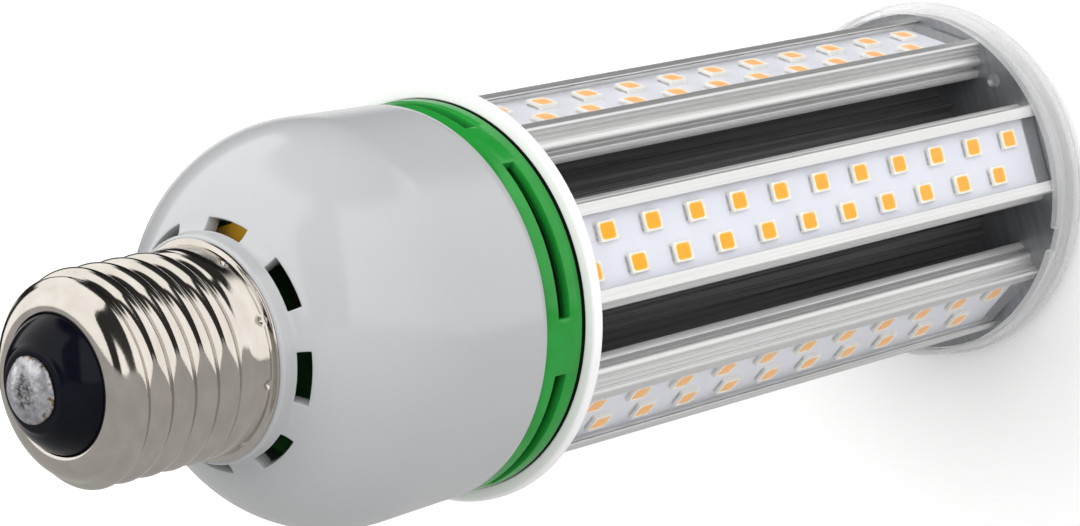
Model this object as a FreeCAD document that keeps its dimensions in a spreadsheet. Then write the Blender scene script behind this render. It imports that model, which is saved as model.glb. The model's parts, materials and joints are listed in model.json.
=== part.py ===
"""A corn led bulb with a medium screw cap, in millimetres.

The bulb stands on its clear end cover with the cap up. Z runs along its axis and the
front strip faces -Y. From the floor up come the end cover, the end board, the end plate,
six aluminium strips round a ribbed core, the flange ring, the vent ring, the bowl with the
driver in it, and the screw cap. Every size below is one cell of the sheet, and every
sketch point and every solid's size is bound to those cells by a formula.
"""

import FreeCAD
import Part
import Sketcher
import math
import os
import re

# Driving sizes: name, value, meaning
SIZES = [
    ("cover_radius", 26.9, "rim of the clear end cover"),
    ("cover_round", 2.0, "rounding under the rim, as two chamfers, beside the flat that it stands on"),
    ("cover_rim_height", 3.2, "height of the wide rim"),
    ("cover_disc", 1.4, "thickness of the clear disc"),
    ("cover_ledge", 3.8, "height of the ledge that carries the end plate"),
    ("cover_skirt_height", 6.7, "height of the thin skirt round the end plate"),
    ("cover_skirt_radius", 26.4, "outside of the thin skirt"),
    ("cover_wall", 0.9, "wall of the skirt"),
    ("cover_ledge_width", 1.0, "width of the ledge"),
    ("snap_depth", 0.15, "how far the snap bead stands out over the end plate"),
    ("snap_height", 0.55, "height of the snap bead"),
    ("cover_notch_angle", 8.0, "width of a notch in the skirt, degrees"),
    ("cover_notch_depth", 1.1, "depth of a notch from the skirt's edge"),
    ("cover_notch_count", 3, "notches round the skirt"),
    ("cover_notch_turn", -31.0, "first notch, degrees from the front strip"),
    ("plate_thick", 1.2, "end plate"),
    ("plate_play", 0.15, "gap between the end plate and the skirt"),
    ("plate_hole_radius", 1.1, "small open hole in the end plate"),
    ("plate_hole_circle", 21.6, "radius of the circle of small holes"),
    ("plate_hole_turn", 32.0, "first small hole, degrees from the front strip"),
    ("end_board_radius", 19.5, "end board"),
    ("end_board_thick", 1.0, "thickness of the end board"),
    ("end_led_circle", 16.2, "radius of the circle of end leds"),
    ("end_led_count", 6, "leds on the end board"),
    ("wire_hole_radius", 3.6, "hole in the end plate for the leads"),
    ("strip_length", 103.0, "strips and core"),
    ("strip_back", 18.2, "back of a strip, from the axis"),
    ("strip_depth", 6.3, "depth of a strip from its back to its lips"),
    ("strip_half", 7.25, "half width of a strip at its back"),
    ("wall_height", 1.6, "plain wall beside the strip's back"),
    ("notch_half", 6.1, "bottom of the deep groove in a strip's side"),
    ("notch_height", 0.4, "width of the deep groove"),
    ("ridge_height", 1.6, "chord of the round ridge on a strip's side"),
    ("ridge_radius", 0.82, "radius of the round ridge"),
    ("upper_half", 6.65, "half width of a strip above the ridge"),
    ("flute_first", 0.55, "first fine flute, below the lip's top"),
    ("flute_pitch", 0.68, "distance between flutes"),
    ("flute_width", 0.34, "width of a flute"),
    ("flute_depth", 0.24, "depth of a flute"),
    ("lip_chamfer", 0.25, "chamfer on a lip's outer edge"),
    ("lip_half", 4.85, "half width of the open window between the lips"),
    ("lip_thick", 0.4, "thickness of a lip"),
    ("ledge_half", 5.25, "half width between the ledges that carry the clear strip"),
    ("ledge_thick", 0.32, "thickness of a ledge"),
    ("floor_height", 3.3, "floor under the board, above the strip's back"),
    ("side_play", 0.1, "gap beside a board or a clear strip"),
    ("board_half", 5.6, "half width of a led board"),
    ("board_thick", 1.2, "thickness of a led board"),
    ("board_setback", 2.0, "distance from the end plate to a board's end"),
    ("board_top_gap", 0.5, "distance from the flange ring to a board's end"),
    ("clear_thick", 0.4, "thickness of a clear strip"),
    ("clear_play", 0.08, "play of a clear strip in its groove"),
    ("led_length", 3.5, "led along the strip"),
    ("led_width", 2.8, "led across the strip"),
    ("led_height", 0.7, "led above its board"),
    ("led_pitch", 8.83, "distance between leds in a row"),
    ("led_count", 11, "leds in a row"),
    ("led_row_half", 2.4, "distance of a row from the board's middle"),
    ("led_first", 6.8, "lowest led of the first row, above the end plate"),
    ("led_stagger", 4.5, "shift of the second row"),
    ("window_length", 2.6, "phosphor window along the strip"),
    ("window_width", 2.1, "phosphor window across the strip"),
    ("window_depth", 0.12, "depth of the phosphor window"),
    ("core_apothem", 12.4, "flats of the core, from the axis"),
    ("core_bore", 9.8, "radius of the core's bore"),
    ("web_half", 1.1, "half thickness of a web"),
    ("pad_half", 3.2, "half width of a web's pad"),
    ("pad_thick", 1.5, "thickness of a web's pad"),
    ("seat_depth", 0.6, "depth of the groove in a strip's back that takes the pad"),
    ("seat_play", 0.1, "gap beside the pad"),
    ("rib_place", 3.4, "place of a tall rib from the middle of a flat"),
    ("rib_height", 1.4, "height of a tall rib"),
    ("rib_half", 0.35, "half thickness of a rib"),
    ("bead_height", 0.4, "height of the low beads on a flat"),
    ("bead_place", 1.7, "distance between the low beads"),
    ("screw_circle", 12.0, "radius of the screws' circle"),
    ("screw_count", 3, "screws at each end"),
    ("port_radius", 1.1, "screw port in the core"),
    ("shank_radius", 1.05, "screw shank"),
    ("shank_length", 8.0, "screw shank from under its head"),
    ("pass_radius", 1.35, "hole that a screw passes"),
    ("head_radius", 2.2, "screw head"),
    ("head_height", 1.6, "height of a screw head"),
    ("head_play", 0.4, "gap round a head in the end board"),
    ("flange_radius", 27.5, "white flange ring"),
    ("flange_thick", 1.6, "thickness of the flange ring"),
    ("flange_chamfer", 0.35, "chamfers of the flange ring's rim"),
    ("flange_bore", 8.0, "hole in the flange ring for the leads"),
    ("spigot_height", 2.2, "spigot inside the vent ring"),
    ("spigot_wall", 1.5, "wall of the spigot"),
    ("post_height", 9.0, "posts that hold the driver board"),
    ("post_size", 4.4, "width of a post"),
    ("post_wall", 1.6, "wall of a post beside the board"),
    ("vent_radius", 25.7, "green vent ring"),
    ("vent_wall", 2.6, "wall of the vent ring"),
    ("vent_gap", 0.4, "dark gap between the flange ring and the vent ring"),
    ("vent_height", 6.66, "height of the vent ring"),
    ("vent_lip_height", 2.0, "lip inside the bowl"),
    ("fit_play", 0.1, "gap between parts that slip into each other"),
    ("vent_slot_width", 2.1, "width of a slot"),
    ("vent_slot_drop", 2.3, "distance of a slot from the ring's top edge"),
    ("vent_slot_angle", 48.0, "length of a slot, degrees"),
    ("vent_slot_pitch", 64.5, "distance between slots, degrees"),
    ("vent_slot_count", 5, "slots round the vent ring"),
    ("vent_slot_turn", -121.2, "first slot's middle, degrees from the front strip"),
    ("bowl_foot_radius", 25.8, "bowl at the vent ring"),
    ("bowl_radius", 26.2, "widest part of the bowl"),
    ("bowl_wall", 1.9, "wall of the bowl"),
    ("barrel_height", 14.3, "height of the bowl's barrel"),
    ("nose_radius", 18.8, "arc of the bowl's nose"),
    ("nose_height", 17.0, "height of the bowl's nose"),
    ("collar_radius", 14.3, "collar under the cap"),
    ("collar_height", 2.84, "height of the collar"),
    ("collar_chamfer", 0.4, "chamfer of the collar's edge"),
    ("neck_radius", 12.5, "neck inside the cap"),
    ("neck_wall", 1.6, "wall of the neck"),
    ("neck_height", 3.0, "height of the neck above the collar"),
    ("window_count", 8, "vent windows round the collar"),
    ("window_angle", 25.0, "width of a vent window, degrees"),
    ("window_turn", 19.6, "middle of the first vent window, degrees from the front strip"),
    ("window_margin", 0.4, "how far a vent window cuts into the nose"),
    ("shell_rim_radius", 13.93, "flared rim of the screw shell"),
    ("shell_rim_height", 0.4, "height of the flared rim"),
    ("shell_flare_height", 1.1, "height of the flare"),
    ("skirt_radius", 13.05, "skirt of the screw shell"),
    ("skirt_height", 3.7, "height of the skirt"),
    ("skirt_sheet", 0.45, "thickness of the skirt"),
    ("shell_step", 0.9, "height of the step from the skirt to the thread's root"),
    ("root_radius", 12.15, "root of the thread"),
    ("crest_radius", 13.2, "crest of the thread"),
    ("thread_pitch", 3.63, "pitch of the thread"),
    ("thread_half", 1.45, "half width of a thread's ridge at its root"),
    ("crest_half", 0.45, "half width of a thread's crest"),
    ("thread_sink", 0.25, "how deep the ridge sinks in the shell's wall"),
    ("shell_bore", 11.55, "inside of the threaded part"),
    ("shell_height", 23.3, "height of the screw shell"),
    ("shell_cone", 2.1, "height of the cone that holds the glass"),
    ("shell_mouth", 8.6, "opening in the cone"),
    ("shell_curl", 0.9, "width of the edge that curls in to the glass"),
    ("shell_curl_drop", 0.7, "how far that edge dips"),
    ("shell_sheet", 0.5, "thickness at the mouth"),
    ("glass_radius", 8.5, "glass insulator at the mouth"),
    ("glass_foot_radius", 9.8, "foot of the glass inside the shell"),
    ("glass_foot", 0.9, "height of the foot"),
    ("glass_depth", 3.4, "how deep the glass sits in the shell"),
    ("glass_height", 3.5, "height of the glass dome above the shell"),
    ("glass_top", 4.6, "flat on top of the glass"),
    ("glass_bend", 7.0, "radius where the glass dome bends"),
    ("glass_bend_height", 1.8, "height of that bend above the shell"),
    ("contact_radius", 4.3, "solder contact"),
    ("contact_height", 1.3, "height of the solder contact"),
    ("wire_radius", 0.6, "wires"),
    ("wire_play", 0.15, "gap round the live wire in the glass"),
    ("lead_place", 2.0, "dc leads, from the axis"),
    ("driver_half", 19.0, "half width of the driver board"),
    ("driver_low", 26.0, "height of the driver board's wide part"),
    ("driver_high", 36.4, "height of the driver board"),
    ("driver_neck_half", 12.4, "half width of the driver board's top"),
    ("driver_thick", 1.6, "thickness of the driver board"),
    ("driver_play", 0.05, "gap beside the driver board in its posts"),
    ("ferrite_width", 13.0, "transformer core across the board"),
    ("ferrite_depth", 7.5, "transformer core off the board"),
    ("ferrite_height", 17.0, "transformer core along the board"),
    ("ferrite_leg", 2.4, "outer legs and bars of the transformer core"),
    ("ferrite_standoff", 2.2, "gap between the board and the transformer core"),
    ("winding_depth", 11.4, "taped winding off the board"),
    ("coil_play", 0.1, "gap between the winding and the core"),
    ("ferrite_place", 1.6, "transformer's near edge, from the axis"),
    ("ferrite_up", 10.5, "transformer above the flange ring"),
    ("can_radius", 5.0, "bulk capacitor"),
    ("can_height", 18.0, "height of the capacitor"),
    ("can_place", 8.5, "capacitor from the axis"),
    ("can_up", 5.5, "capacitor above the flange ring"),
    ("choke_radius", 4.6, "choke"),
    ("choke_height", 9.5, "height of the choke off the board"),
    ("choke_waist", 3.3, "waist of the choke, full of wire"),
    ("choke_flange", 1.4, "end discs of the choke"),
    ("choke_place", 8.0, "choke from the axis"),
    ("choke_up", 16.0, "choke above the flange ring"),
    ("bridge_width", 8.0, "rectifier across the board"),
    ("bridge_height", 6.4, "rectifier along the board"),
    ("bridge_depth", 2.6, "rectifier off the board"),
    ("bridge_place", 6.0, "rectifier from the axis"),
    ("bridge_up", 24.0, "rectifier above the flange ring"),
    ("film_width", 6.2, "film capacitor across the board"),
    ("film_height", 7.0, "film capacitor along the board"),
    ("film_depth", 8.0, "film capacitor off the board"),
    ("film_place", 8.0, "film capacitor's near edge, from the axis"),
    ("film_up", 27.8, "film capacitor above the flange ring"),
    ("neutral_place", 6.0, "neutral wire on the driver board, from the axis"),
    ("neutral_rise", 5.5, "neutral wire's straight start"),
    ("neutral_slope", 7.0, "neutral wire's sloping part"),
    ("neutral_end", 5.0, "neutral wire's last part, along the shell"),
    ("neutral_bend", 4.5, "neutral wire's bends"),
]

# Levels on the axis, from the floor up
BOARD_LEVEL = "(cover_ledge - end_board_thick)"
PLATE_TOP = "(cover_ledge + plate_thick)"
STRIP_TOP = f"({PLATE_TOP} + strip_length)"
FLANGE_TOP = f"({STRIP_TOP} + flange_thick)"
VENT_BOTTOM = f"({FLANGE_TOP} + vent_gap)"
VENT_TOP = f"({VENT_BOTTOM} + vent_height)"
NOSE_START = f"({VENT_TOP} + barrel_height)"
SHOULDER = f"({NOSE_START} + nose_height)"
COLLAR_TOP = f"({SHOULDER} + collar_height)"
SHELL_END = f"({COLLAR_TOP} + shell_height)"
GLASS_TOP = f"({SHELL_END} + glass_height)"
DRIVER_TOP = f"({FLANGE_TOP} + driver_high)"

# Radii and depths that more than one piece uses
VENT_BORE = "(vent_radius - vent_wall)"
NOSE_CENTRE = "(bowl_radius - nose_radius)"
SHOULDER_RADIUS = f"({NOSE_CENTRE} + sqrt(nose_radius^2 - nose_height^2))"
LIP_TOP = "(strip_back + strip_depth)"
GROOVE_TOP = f"({LIP_TOP} - lip_thick)"
GROOVE_FLOOR = f"({GROOVE_TOP} - clear_thick - clear_play)"
BOARD_FLOOR = "(strip_back + floor_height)"
BOARD_TOP = f"({BOARD_FLOOR} + board_thick)"
SLOT_HALF = "(board_half + side_play)"
PAD_TOP = "(strip_back + seat_depth)"
SKIRT_BORE = "(cover_skirt_radius - cover_wall)"
PLATE_RADIUS = f"({SKIRT_BORE} - plate_play)"
DRIVER_FACE = "(driver_thick / 2)"

SIDES = 6
FULL_TURN = 360.0
CUT_OVER = 1.0
FLUTES = 3
NOSE_STEPS = 3
THREAD_TURN = -132.0
BEADS = (-1, 0, 1)

doc = FreeCAD.newDocument("corn_led_bulb")
sheet = doc.addObject("Spreadsheet::Sheet", "Size")
for row, (alias, amount, meaning) in enumerate(SIZES, start=1):
    sheet.set(f"A{row}", alias)
    sheet.set(f"B{row}", str(amount))
    sheet.set(f"C{row}", meaning)
    sheet.setAlias(f"B{row}", alias)
doc.recompute()

subparts = []


def cells(formula):
    """Writes a formula's size names as cells of the sheet."""
    return re.sub(r"[a-z]+(?:_[a-z]+)+", lambda word: "Size." + word.group(0), formula)


def value(formula):
    """Works a formula out as a number."""
    return float(sheet.evalExpression(formula))


def bind(item, field, formula):
    """Ties one property of an object to the sheet."""
    item.setExpression(field, cells(formula))


def new_body(label, turn=0.0):
    """Starts a sub-part as a body, turned about the axis by some degrees."""
    body = doc.addObject("PartDesign::Body", label)
    body.Label = label
    body.AllowCompound = True
    body.Placement = FreeCAD.Placement(
        FreeCAD.Vector(), FreeCAD.Rotation(FreeCAD.Vector(0, 0, 1), turn)
    )
    subparts.append(body)
    return body


def new_sketch(body, role, offset="0"):
    """Puts a sketch on one of the body's own planes, moved along its normal."""
    sketch = body.newObject("Sketcher::SketchObject", body.Label + "_sketch")
    support = next(plane for plane in body.Origin.OriginFeatures if plane.Role == role)
    sketch.AttachmentSupport = [(support, "")]
    sketch.MapMode = "FlatFace"
    bind(sketch, "AttachmentOffset.Base.z", offset)
    return sketch


def bind_point(sketch, edge, end, spot):
    """Holds one end of an edge at a spot given by two formulas."""
    for kind, formula in zip(("DistanceX", "DistanceY"), spot):
        rule = Sketcher.Constraint(kind, -1, 1, edge, end, value(formula))
        number = sketch.addConstraint(rule)
        bind(sketch, f"Constraints[{number}]", formula)


def arc_between(start, end, radius):
    """The short arc from start to end: it turns left for a positive radius."""
    chord = end - start
    half = chord.Length / 2
    reach = max(radius * radius - half * half, 0.0) ** 0.5
    left = FreeCAD.Vector(-chord.y, chord.x, 0).normalize()
    side = 1 if radius > 0 else -1
    centre = (start + end) * 0.5 + left * (reach * side)
    middle = centre - left * (abs(radius) * side)
    return Part.Arc(start, middle, end)


def add_outline(sketch, points):
    """Adds one closed outline to a sketch.

    Each point is (x formula, y formula), or has a third formula: the radius of the arc
    that runs from it to the next point, positive where the arc turns left.
    """
    first = len(sketch.Geometry)
    count = len(points)
    spots = [FreeCAD.Vector(value(point[0]), value(point[1]), 0) for point in points]
    starts = []
    ends = []
    for index, point in enumerate(points):
        here = spots[index]
        there = spots[(index + 1) % count]
        if len(point) == 2:
            sketch.addGeometry(Part.LineSegment(here, there))
            starts.append(1)
            ends.append(2)
            continue
        radius = value(point[2])
        sketch.addGeometry(arc_between(here, there, radius))
        starts.append(1 if radius > 0 else 2)
        ends.append(2 if radius > 0 else 1)
    for index, point in enumerate(points):
        after = (index + 1) % count
        joint = (first + index, ends[index], first + after, starts[after])
        sketch.addConstraint(Sketcher.Constraint("Coincident", *joint))
        bind_point(sketch, first + index, starts[index], point[:2])
        if len(point) == 3:
            rule = Sketcher.Constraint("Radius", first + index, abs(value(point[2])))
            number = sketch.addConstraint(rule)
            bind(sketch, f"Constraints[{number}]", f"abs({point[2]})")


def add_circle(sketch, x, y, radius):
    """Adds a circle to a sketch."""
    centre = FreeCAD.Vector(value(x), value(y), 0)
    axis = FreeCAD.Vector(0, 0, 1)
    edge = sketch.addGeometry(Part.Circle(centre, axis, value(radius)))
    bind_point(sketch, edge, 3, (x, y))
    number = sketch.addConstraint(Sketcher.Constraint("Radius", edge, value(radius)))
    bind(sketch, f"Constraints[{number}]", radius)


def box_points(x_low, x_high, y_low, y_high):
    """The corners of a rectangle, anticlockwise."""
    return [(x_low, y_low), (x_high, y_low), (x_high, y_high), (x_low, y_high)]


def sector_points(inner, outer, middle, width):
    """A piece of a ring: its middle is given in degrees from the front strip."""
    low = f"({middle} - 90 - ({width}) / 2)"
    high = f"({middle} - 90 + ({width}) / 2)"
    return [
        (f"{outer} * cos({low})", f"{outer} * sin({low})", f"{outer}"),
        (f"{outer} * cos({high})", f"{outer} * sin({high})"),
        (f"{inner} * cos({high})", f"{inner} * sin({high})", f"-1 * {inner}"),
        (f"{inner} * cos({low})", f"{inner} * sin({low})"),
    ]


def feature(body, kind, sketch, **settings):
    """Adds a sketch-based feature and binds its lengths."""
    item = body.newObject("PartDesign::" + kind, body.Label + "_" + kind.lower())
    item.Profile = sketch
    for field, formula in settings.items():
        bind(item, field, formula)
    sketch.Visibility = False
    body.Tip = item
    return item


def pad(body, sketch, length):
    """Raises a sketch along its normal."""
    return feature(body, "Pad", sketch, Length=length)


def pocket(body, sketch, length):
    """Cuts a sketch down against its normal, and proves that it cut something."""
    doc.recompute()
    before = body.Shape.Volume
    item = feature(body, "Pocket", sketch, Length=length)
    doc.recompute()
    if body.Shape.Volume >= before:
        raise ValueError(body.Label + ": a pocket cut nothing")
    return item


def revolve(body, sketch):
    """Turns a sketch right round the sketch's upright axis."""
    item = body.newObject("PartDesign::Revolution", body.Label + "_turned")
    item.Profile = sketch
    item.ReferenceAxis = (sketch, ["V_Axis"])
    item.Angle = FULL_TURN
    sketch.Visibility = False
    body.Tip = item
    return item


def around(body, items, count, angle=None):
    """Repeats features round the axis: right round, or up to an angle."""
    item = body.newObject("PartDesign::PolarPattern", body.Label + "_around")
    item.Originals = items
    upright = next(axis for axis in body.Origin.OriginFeatures if axis.Role == "Z_Axis")
    item.Axis = (upright, [""])
    if angle is None:
        item.Angle = FULL_TURN
    else:
        bind(item, "Angle", angle)
    bind(item, "Occurrences", count)
    body.Tip = item
    return item


def solid(kind, label, **settings):
    """Adds a Part primitive whose sizes are bound to the sheet."""
    item = doc.addObject("Part::" + kind, label)
    item.Label = label
    for field, formula in settings.items():
        bind(item, field, formula)
    return item


def place(item, x, y, z):
    """Binds where a primitive's own corner or centre lies."""
    for axis, formula in zip("xyz", (x, y, z)):
        bind(item, "Placement.Base." + axis, formula)
    return item


def round_profile(label, points, turn=0.0):
    """A sub-part turned from one half section of (radius, height) points."""
    body = new_body(label, turn)
    sketch = new_sketch(body, "XZ_Plane")
    add_outline(sketch, points)
    revolve(body, sketch)
    return body


def make_end_cover():
    """The clear cup: a wide rim, a thin skirt, a ledge and a snap bead for the plate."""
    bead = f"({PLATE_TOP} + clear_play)"
    halfway = "cover_round * (1 - cos(45))"
    body = round_profile("end_cover", [
        ("0", "0"),
        ("cover_radius - cover_round", "0"),
        (f"cover_radius - {halfway}", halfway),
        ("cover_radius", "cover_round"),
        ("cover_radius", "cover_rim_height"),
        ("cover_skirt_radius", "cover_rim_height"),
        ("cover_skirt_radius", "cover_skirt_height"),
        (SKIRT_BORE, "cover_skirt_height"),
        (SKIRT_BORE, f"{bead} + snap_height"),
        (f"{SKIRT_BORE} - snap_depth", f"{bead} + snap_height / 2"),
        (SKIRT_BORE, bead),
        (SKIRT_BORE, "cover_ledge"),
        (f"{SKIRT_BORE} - cover_ledge_width", "cover_ledge"),
        (f"{SKIRT_BORE} - cover_ledge_width", "cover_disc"),
        ("0", "cover_disc"),
    ])
    sketch = new_sketch(body, "XY_Plane", "cover_skirt_height")
    inner = f"({SKIRT_BORE} - snap_depth * 2)"
    outer = f"(cover_skirt_radius + {CUT_OVER})"
    add_outline(sketch, sector_points(inner, outer, "cover_notch_turn", "cover_notch_angle"))
    notch = pocket(body, sketch, "cover_notch_depth")
    around(body, [notch], "cover_notch_count")


def make_end_plate():
    """The aluminium disc that the strips and the core stand on."""
    body = new_body("end_plate")
    sketch = new_sketch(body, "XY_Plane", "cover_ledge")
    add_circle(sketch, "0", "0", PLATE_RADIUS)
    add_circle(sketch, "0", "0", "wire_hole_radius")
    pad(body, sketch, "plate_thick")
    holes = new_sketch(body, "XY_Plane", PLATE_TOP)
    add_circle(holes, "0", "-1 * screw_circle", "pass_radius")
    turn = "(plate_hole_turn - 90)"
    x = f"plate_hole_circle * cos({turn})"
    y = f"plate_hole_circle * sin({turn})"
    add_circle(holes, x, y, "plate_hole_radius")
    drilled = pocket(body, holes, f"plate_thick + {CUT_OVER}")
    around(body, [drilled], "screw_count")


def make_end_board():
    """The round board under the end plate, with room for the screw heads."""
    body = new_body("end_board")
    sketch = new_sketch(body, "XY_Plane", BOARD_LEVEL)
    add_circle(sketch, "0", "0", "end_board_radius")
    pad(body, sketch, "end_board_thick")
    holes = new_sketch(body, "XY_Plane", "cover_ledge")
    add_circle(holes, "0", "-1 * screw_circle", "head_radius + head_play")
    drilled = pocket(body, holes, f"end_board_thick + {CUT_OVER}")
    around(body, [drilled], "screw_count")


def make_end_leds():
    """The ring of leds that shine through the end cover."""
    body = new_body("end_led_group")
    sketch = new_sketch(body, "XY_Plane", f"{BOARD_LEVEL} - led_height")
    middle = "(end_led_circle * cos(180 / end_led_count))"
    side = "(end_led_circle * sin(180 / end_led_count))"
    x = (f"{middle} - led_width / 2", f"{middle} + led_width / 2")
    y = (f"{side} - led_length / 2", f"{side} + led_length / 2")
    add_outline(sketch, box_points(*x, *y))
    chip = pad(body, sketch, "led_height")
    around(body, [chip], "end_led_count")


def strip_side():
    """Right half of a strip's section, from its back to its lips, as (across, out)."""
    wall_top = "(strip_back + wall_height)"
    notch_top = f"({wall_top} + notch_height)"
    side = [
        ("pad_half + seat_play", PAD_TOP),
        ("pad_half + seat_play", "strip_back"),
        ("strip_half", "strip_back"),
        ("strip_half", wall_top),
        ("notch_half", wall_top),
        ("notch_half", notch_top),
        ("upper_half", notch_top, "ridge_radius"),
        ("upper_half", f"{notch_top} + ridge_height"),
    ]
    for number in reversed(range(FLUTES)):
        top = f"({LIP_TOP} - flute_first - {number} * flute_pitch)"
        side += [
            ("upper_half", f"{top} - flute_width"),
            ("upper_half - flute_depth", f"{top} - flute_width * 3 / 4"),
            ("upper_half - flute_depth", f"{top} - flute_width / 4"),
            ("upper_half", top),
        ]
    return side + [
        ("upper_half", f"{LIP_TOP} - lip_chamfer"),
        ("upper_half - lip_chamfer", LIP_TOP),
        ("lip_half", LIP_TOP),
        ("lip_half", GROOVE_TOP),
        (SLOT_HALF, GROOVE_TOP),
        (SLOT_HALF, GROOVE_FLOOR),
        ("ledge_half", GROOVE_FLOOR),
        ("ledge_half", f"{GROOVE_FLOOR} - ledge_thick"),
        (SLOT_HALF, f"{GROOVE_FLOOR} - ledge_thick"),
        (SLOT_HALF, BOARD_FLOOR),
    ]


def strip_section():
    """The whole section of a strip, with its front towards -Y."""
    right = strip_side()
    points = []
    for point in right:
        arc = point[2:]
        points.append((point[0], f"-1 * ({point[1]})") + tuple(f"-1 * {r}" for r in arc))
    left = []
    for index, point in enumerate(right):
        arc = right[index - 1][2:] if index else ()
        mirrored = (f"-1 * ({point[0]})", f"-1 * ({point[1]})")
        left.append(mirrored + tuple(f"-1 * {r}" for r in arc))
    return points + left[::-1]


def make_strip(number, turn):
    """One aluminium strip: an extrusion with fluted sides, lips and a slot for the board."""
    body = new_body(f"strip_profile_{number}", turn)
    sketch = new_sketch(body, "XY_Plane", PLATE_TOP)
    add_outline(sketch, strip_section())
    pad(body, sketch, "strip_length")


def make_board(number, turn):
    """The long board that carries the leds of one strip."""
    body = new_body(f"led_board_{number}", turn)
    sketch = new_sketch(body, "XY_Plane", f"{PLATE_TOP} + board_setback")
    y = (f"-1 * {BOARD_TOP}", f"-1 * {BOARD_FLOOR}")
    add_outline(sketch, box_points("-1 * board_half", "board_half", *y))
    pad(body, sketch, "strip_length - board_setback - board_top_gap")


def make_leds(number, turn):
    """Two staggered rows of leds, each with a shallow phosphor window."""
    body = new_body(f"led_group_{number}", turn)
    chips = new_sketch(body, "XZ_Plane", BOARD_TOP)
    windows = new_sketch(body, "XZ_Plane", f"{BOARD_TOP} + led_height")
    first = f"({PLATE_TOP} + led_first)"
    rows = (("led_row_half", first), ("-1 * led_row_half", f"({first} + led_stagger)"))
    outlines = ((chips, "led_width", "led_length"), (windows, "window_width", "window_length"))
    for sketch, width, length in outlines:
        for x, z in rows:
            across = (f"{x} - {width} / 2", f"{x} + {width} / 2")
            along = (f"{z} - {length} / 2", f"{z} + {length} / 2")
            add_outline(sketch, box_points(*across, *along))
    chip = pad(body, chips, "led_height")
    window = pocket(body, windows, "window_depth")
    row = body.newObject("PartDesign::LinearPattern", body.Label + "_row")
    row.Originals = [chip, window]
    row.Direction = (chips, ["V_Axis"])
    bind(row, "Length", "led_pitch * (led_count - 1)")
    bind(row, "Occurrences", "led_count")
    body.Tip = row


def make_clear_strip(number, turn):
    """The clear strip that slides in under the lips, over the leds."""
    body = new_body(f"cover_strip_{number}", turn)
    sketch = new_sketch(body, "XY_Plane", PLATE_TOP)
    y = (f"-1 * ({GROOVE_FLOOR} + clear_thick)", f"-1 * {GROOVE_FLOOR}")
    add_outline(sketch, box_points("-1 * board_half", "board_half", *y))
    pad(body, sketch, "strip_length")


def make_core():
    """The six-sided extruded core: webs with pads, ribs on its flats and screw ports."""
    body = new_body("heat_sink_core")
    tube = new_sketch(body, "XY_Plane", PLATE_TOP)
    corner = f"core_apothem / cos({FULL_TURN / SIDES / 2})"
    angles = [FULL_TURN / SIDES * (side + 0.5) for side in range(SIDES)]
    add_outline(tube, [(f"{corner} * cos({a})", f"{corner} * sin({a})") for a in angles])
    add_circle(tube, "0", "0", "core_bore")
    pad(body, tube, "strip_length")
    web = new_sketch(body, "XY_Plane", PLATE_TOP)
    pad_back = f"-1 * ({PAD_TOP} - pad_thick)"
    add_outline(web, [
        ("-1 * web_half", "-1 * core_apothem"),
        ("-1 * web_half", pad_back),
        ("-1 * pad_half", pad_back),
        ("-1 * pad_half", f"-1 * {PAD_TOP}"),
        ("pad_half", f"-1 * {PAD_TOP}"),
        ("pad_half", pad_back),
        ("web_half", pad_back),
        ("web_half", "-1 * core_apothem"),
    ])
    arm = pad(body, web, "strip_length")
    ribs = new_sketch(body, "XY_Plane", PLATE_TOP)
    tall = "core_apothem + rib_height"
    low = "core_apothem + bead_height"
    marks = [("rib_place", tall), ("-1 * rib_place", tall)]
    marks += [(f"{number} * bead_place", low) for number in BEADS]
    for middle, reach in marks:
        y = (f"{middle} - rib_half", f"{middle} + rib_half")
        add_outline(ribs, box_points("core_apothem - rib_half", reach, *y))
    ridge = pad(body, ribs, "strip_length")
    around(body, [arm, ridge], str(SIDES))
    ports = new_sketch(body, "XY_Plane", STRIP_TOP)
    add_circle(ports, "0", "-1 * screw_circle", "port_radius")
    port = pocket(body, ports, f"strip_length + {CUT_OVER}")
    around(body, [port], "screw_count")


def make_screws(label, seat, up):
    """Three screws: heads at a level, shanks up or down into the core's ports."""
    body = new_body(label)
    foot = seat if up else f"({seat} - shank_length)"
    crown = f"({seat} - head_height)" if up else seat
    shank = new_sketch(body, "XY_Plane", foot)
    add_circle(shank, "0", "-1 * screw_circle", "shank_radius")
    shaft = pad(body, shank, "shank_length")
    head = new_sketch(body, "XY_Plane", crown)
    add_circle(head, "0", "-1 * screw_circle", "head_radius")
    cap = pad(body, head, "head_height")
    around(body, [shaft, cap], "screw_count")


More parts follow.
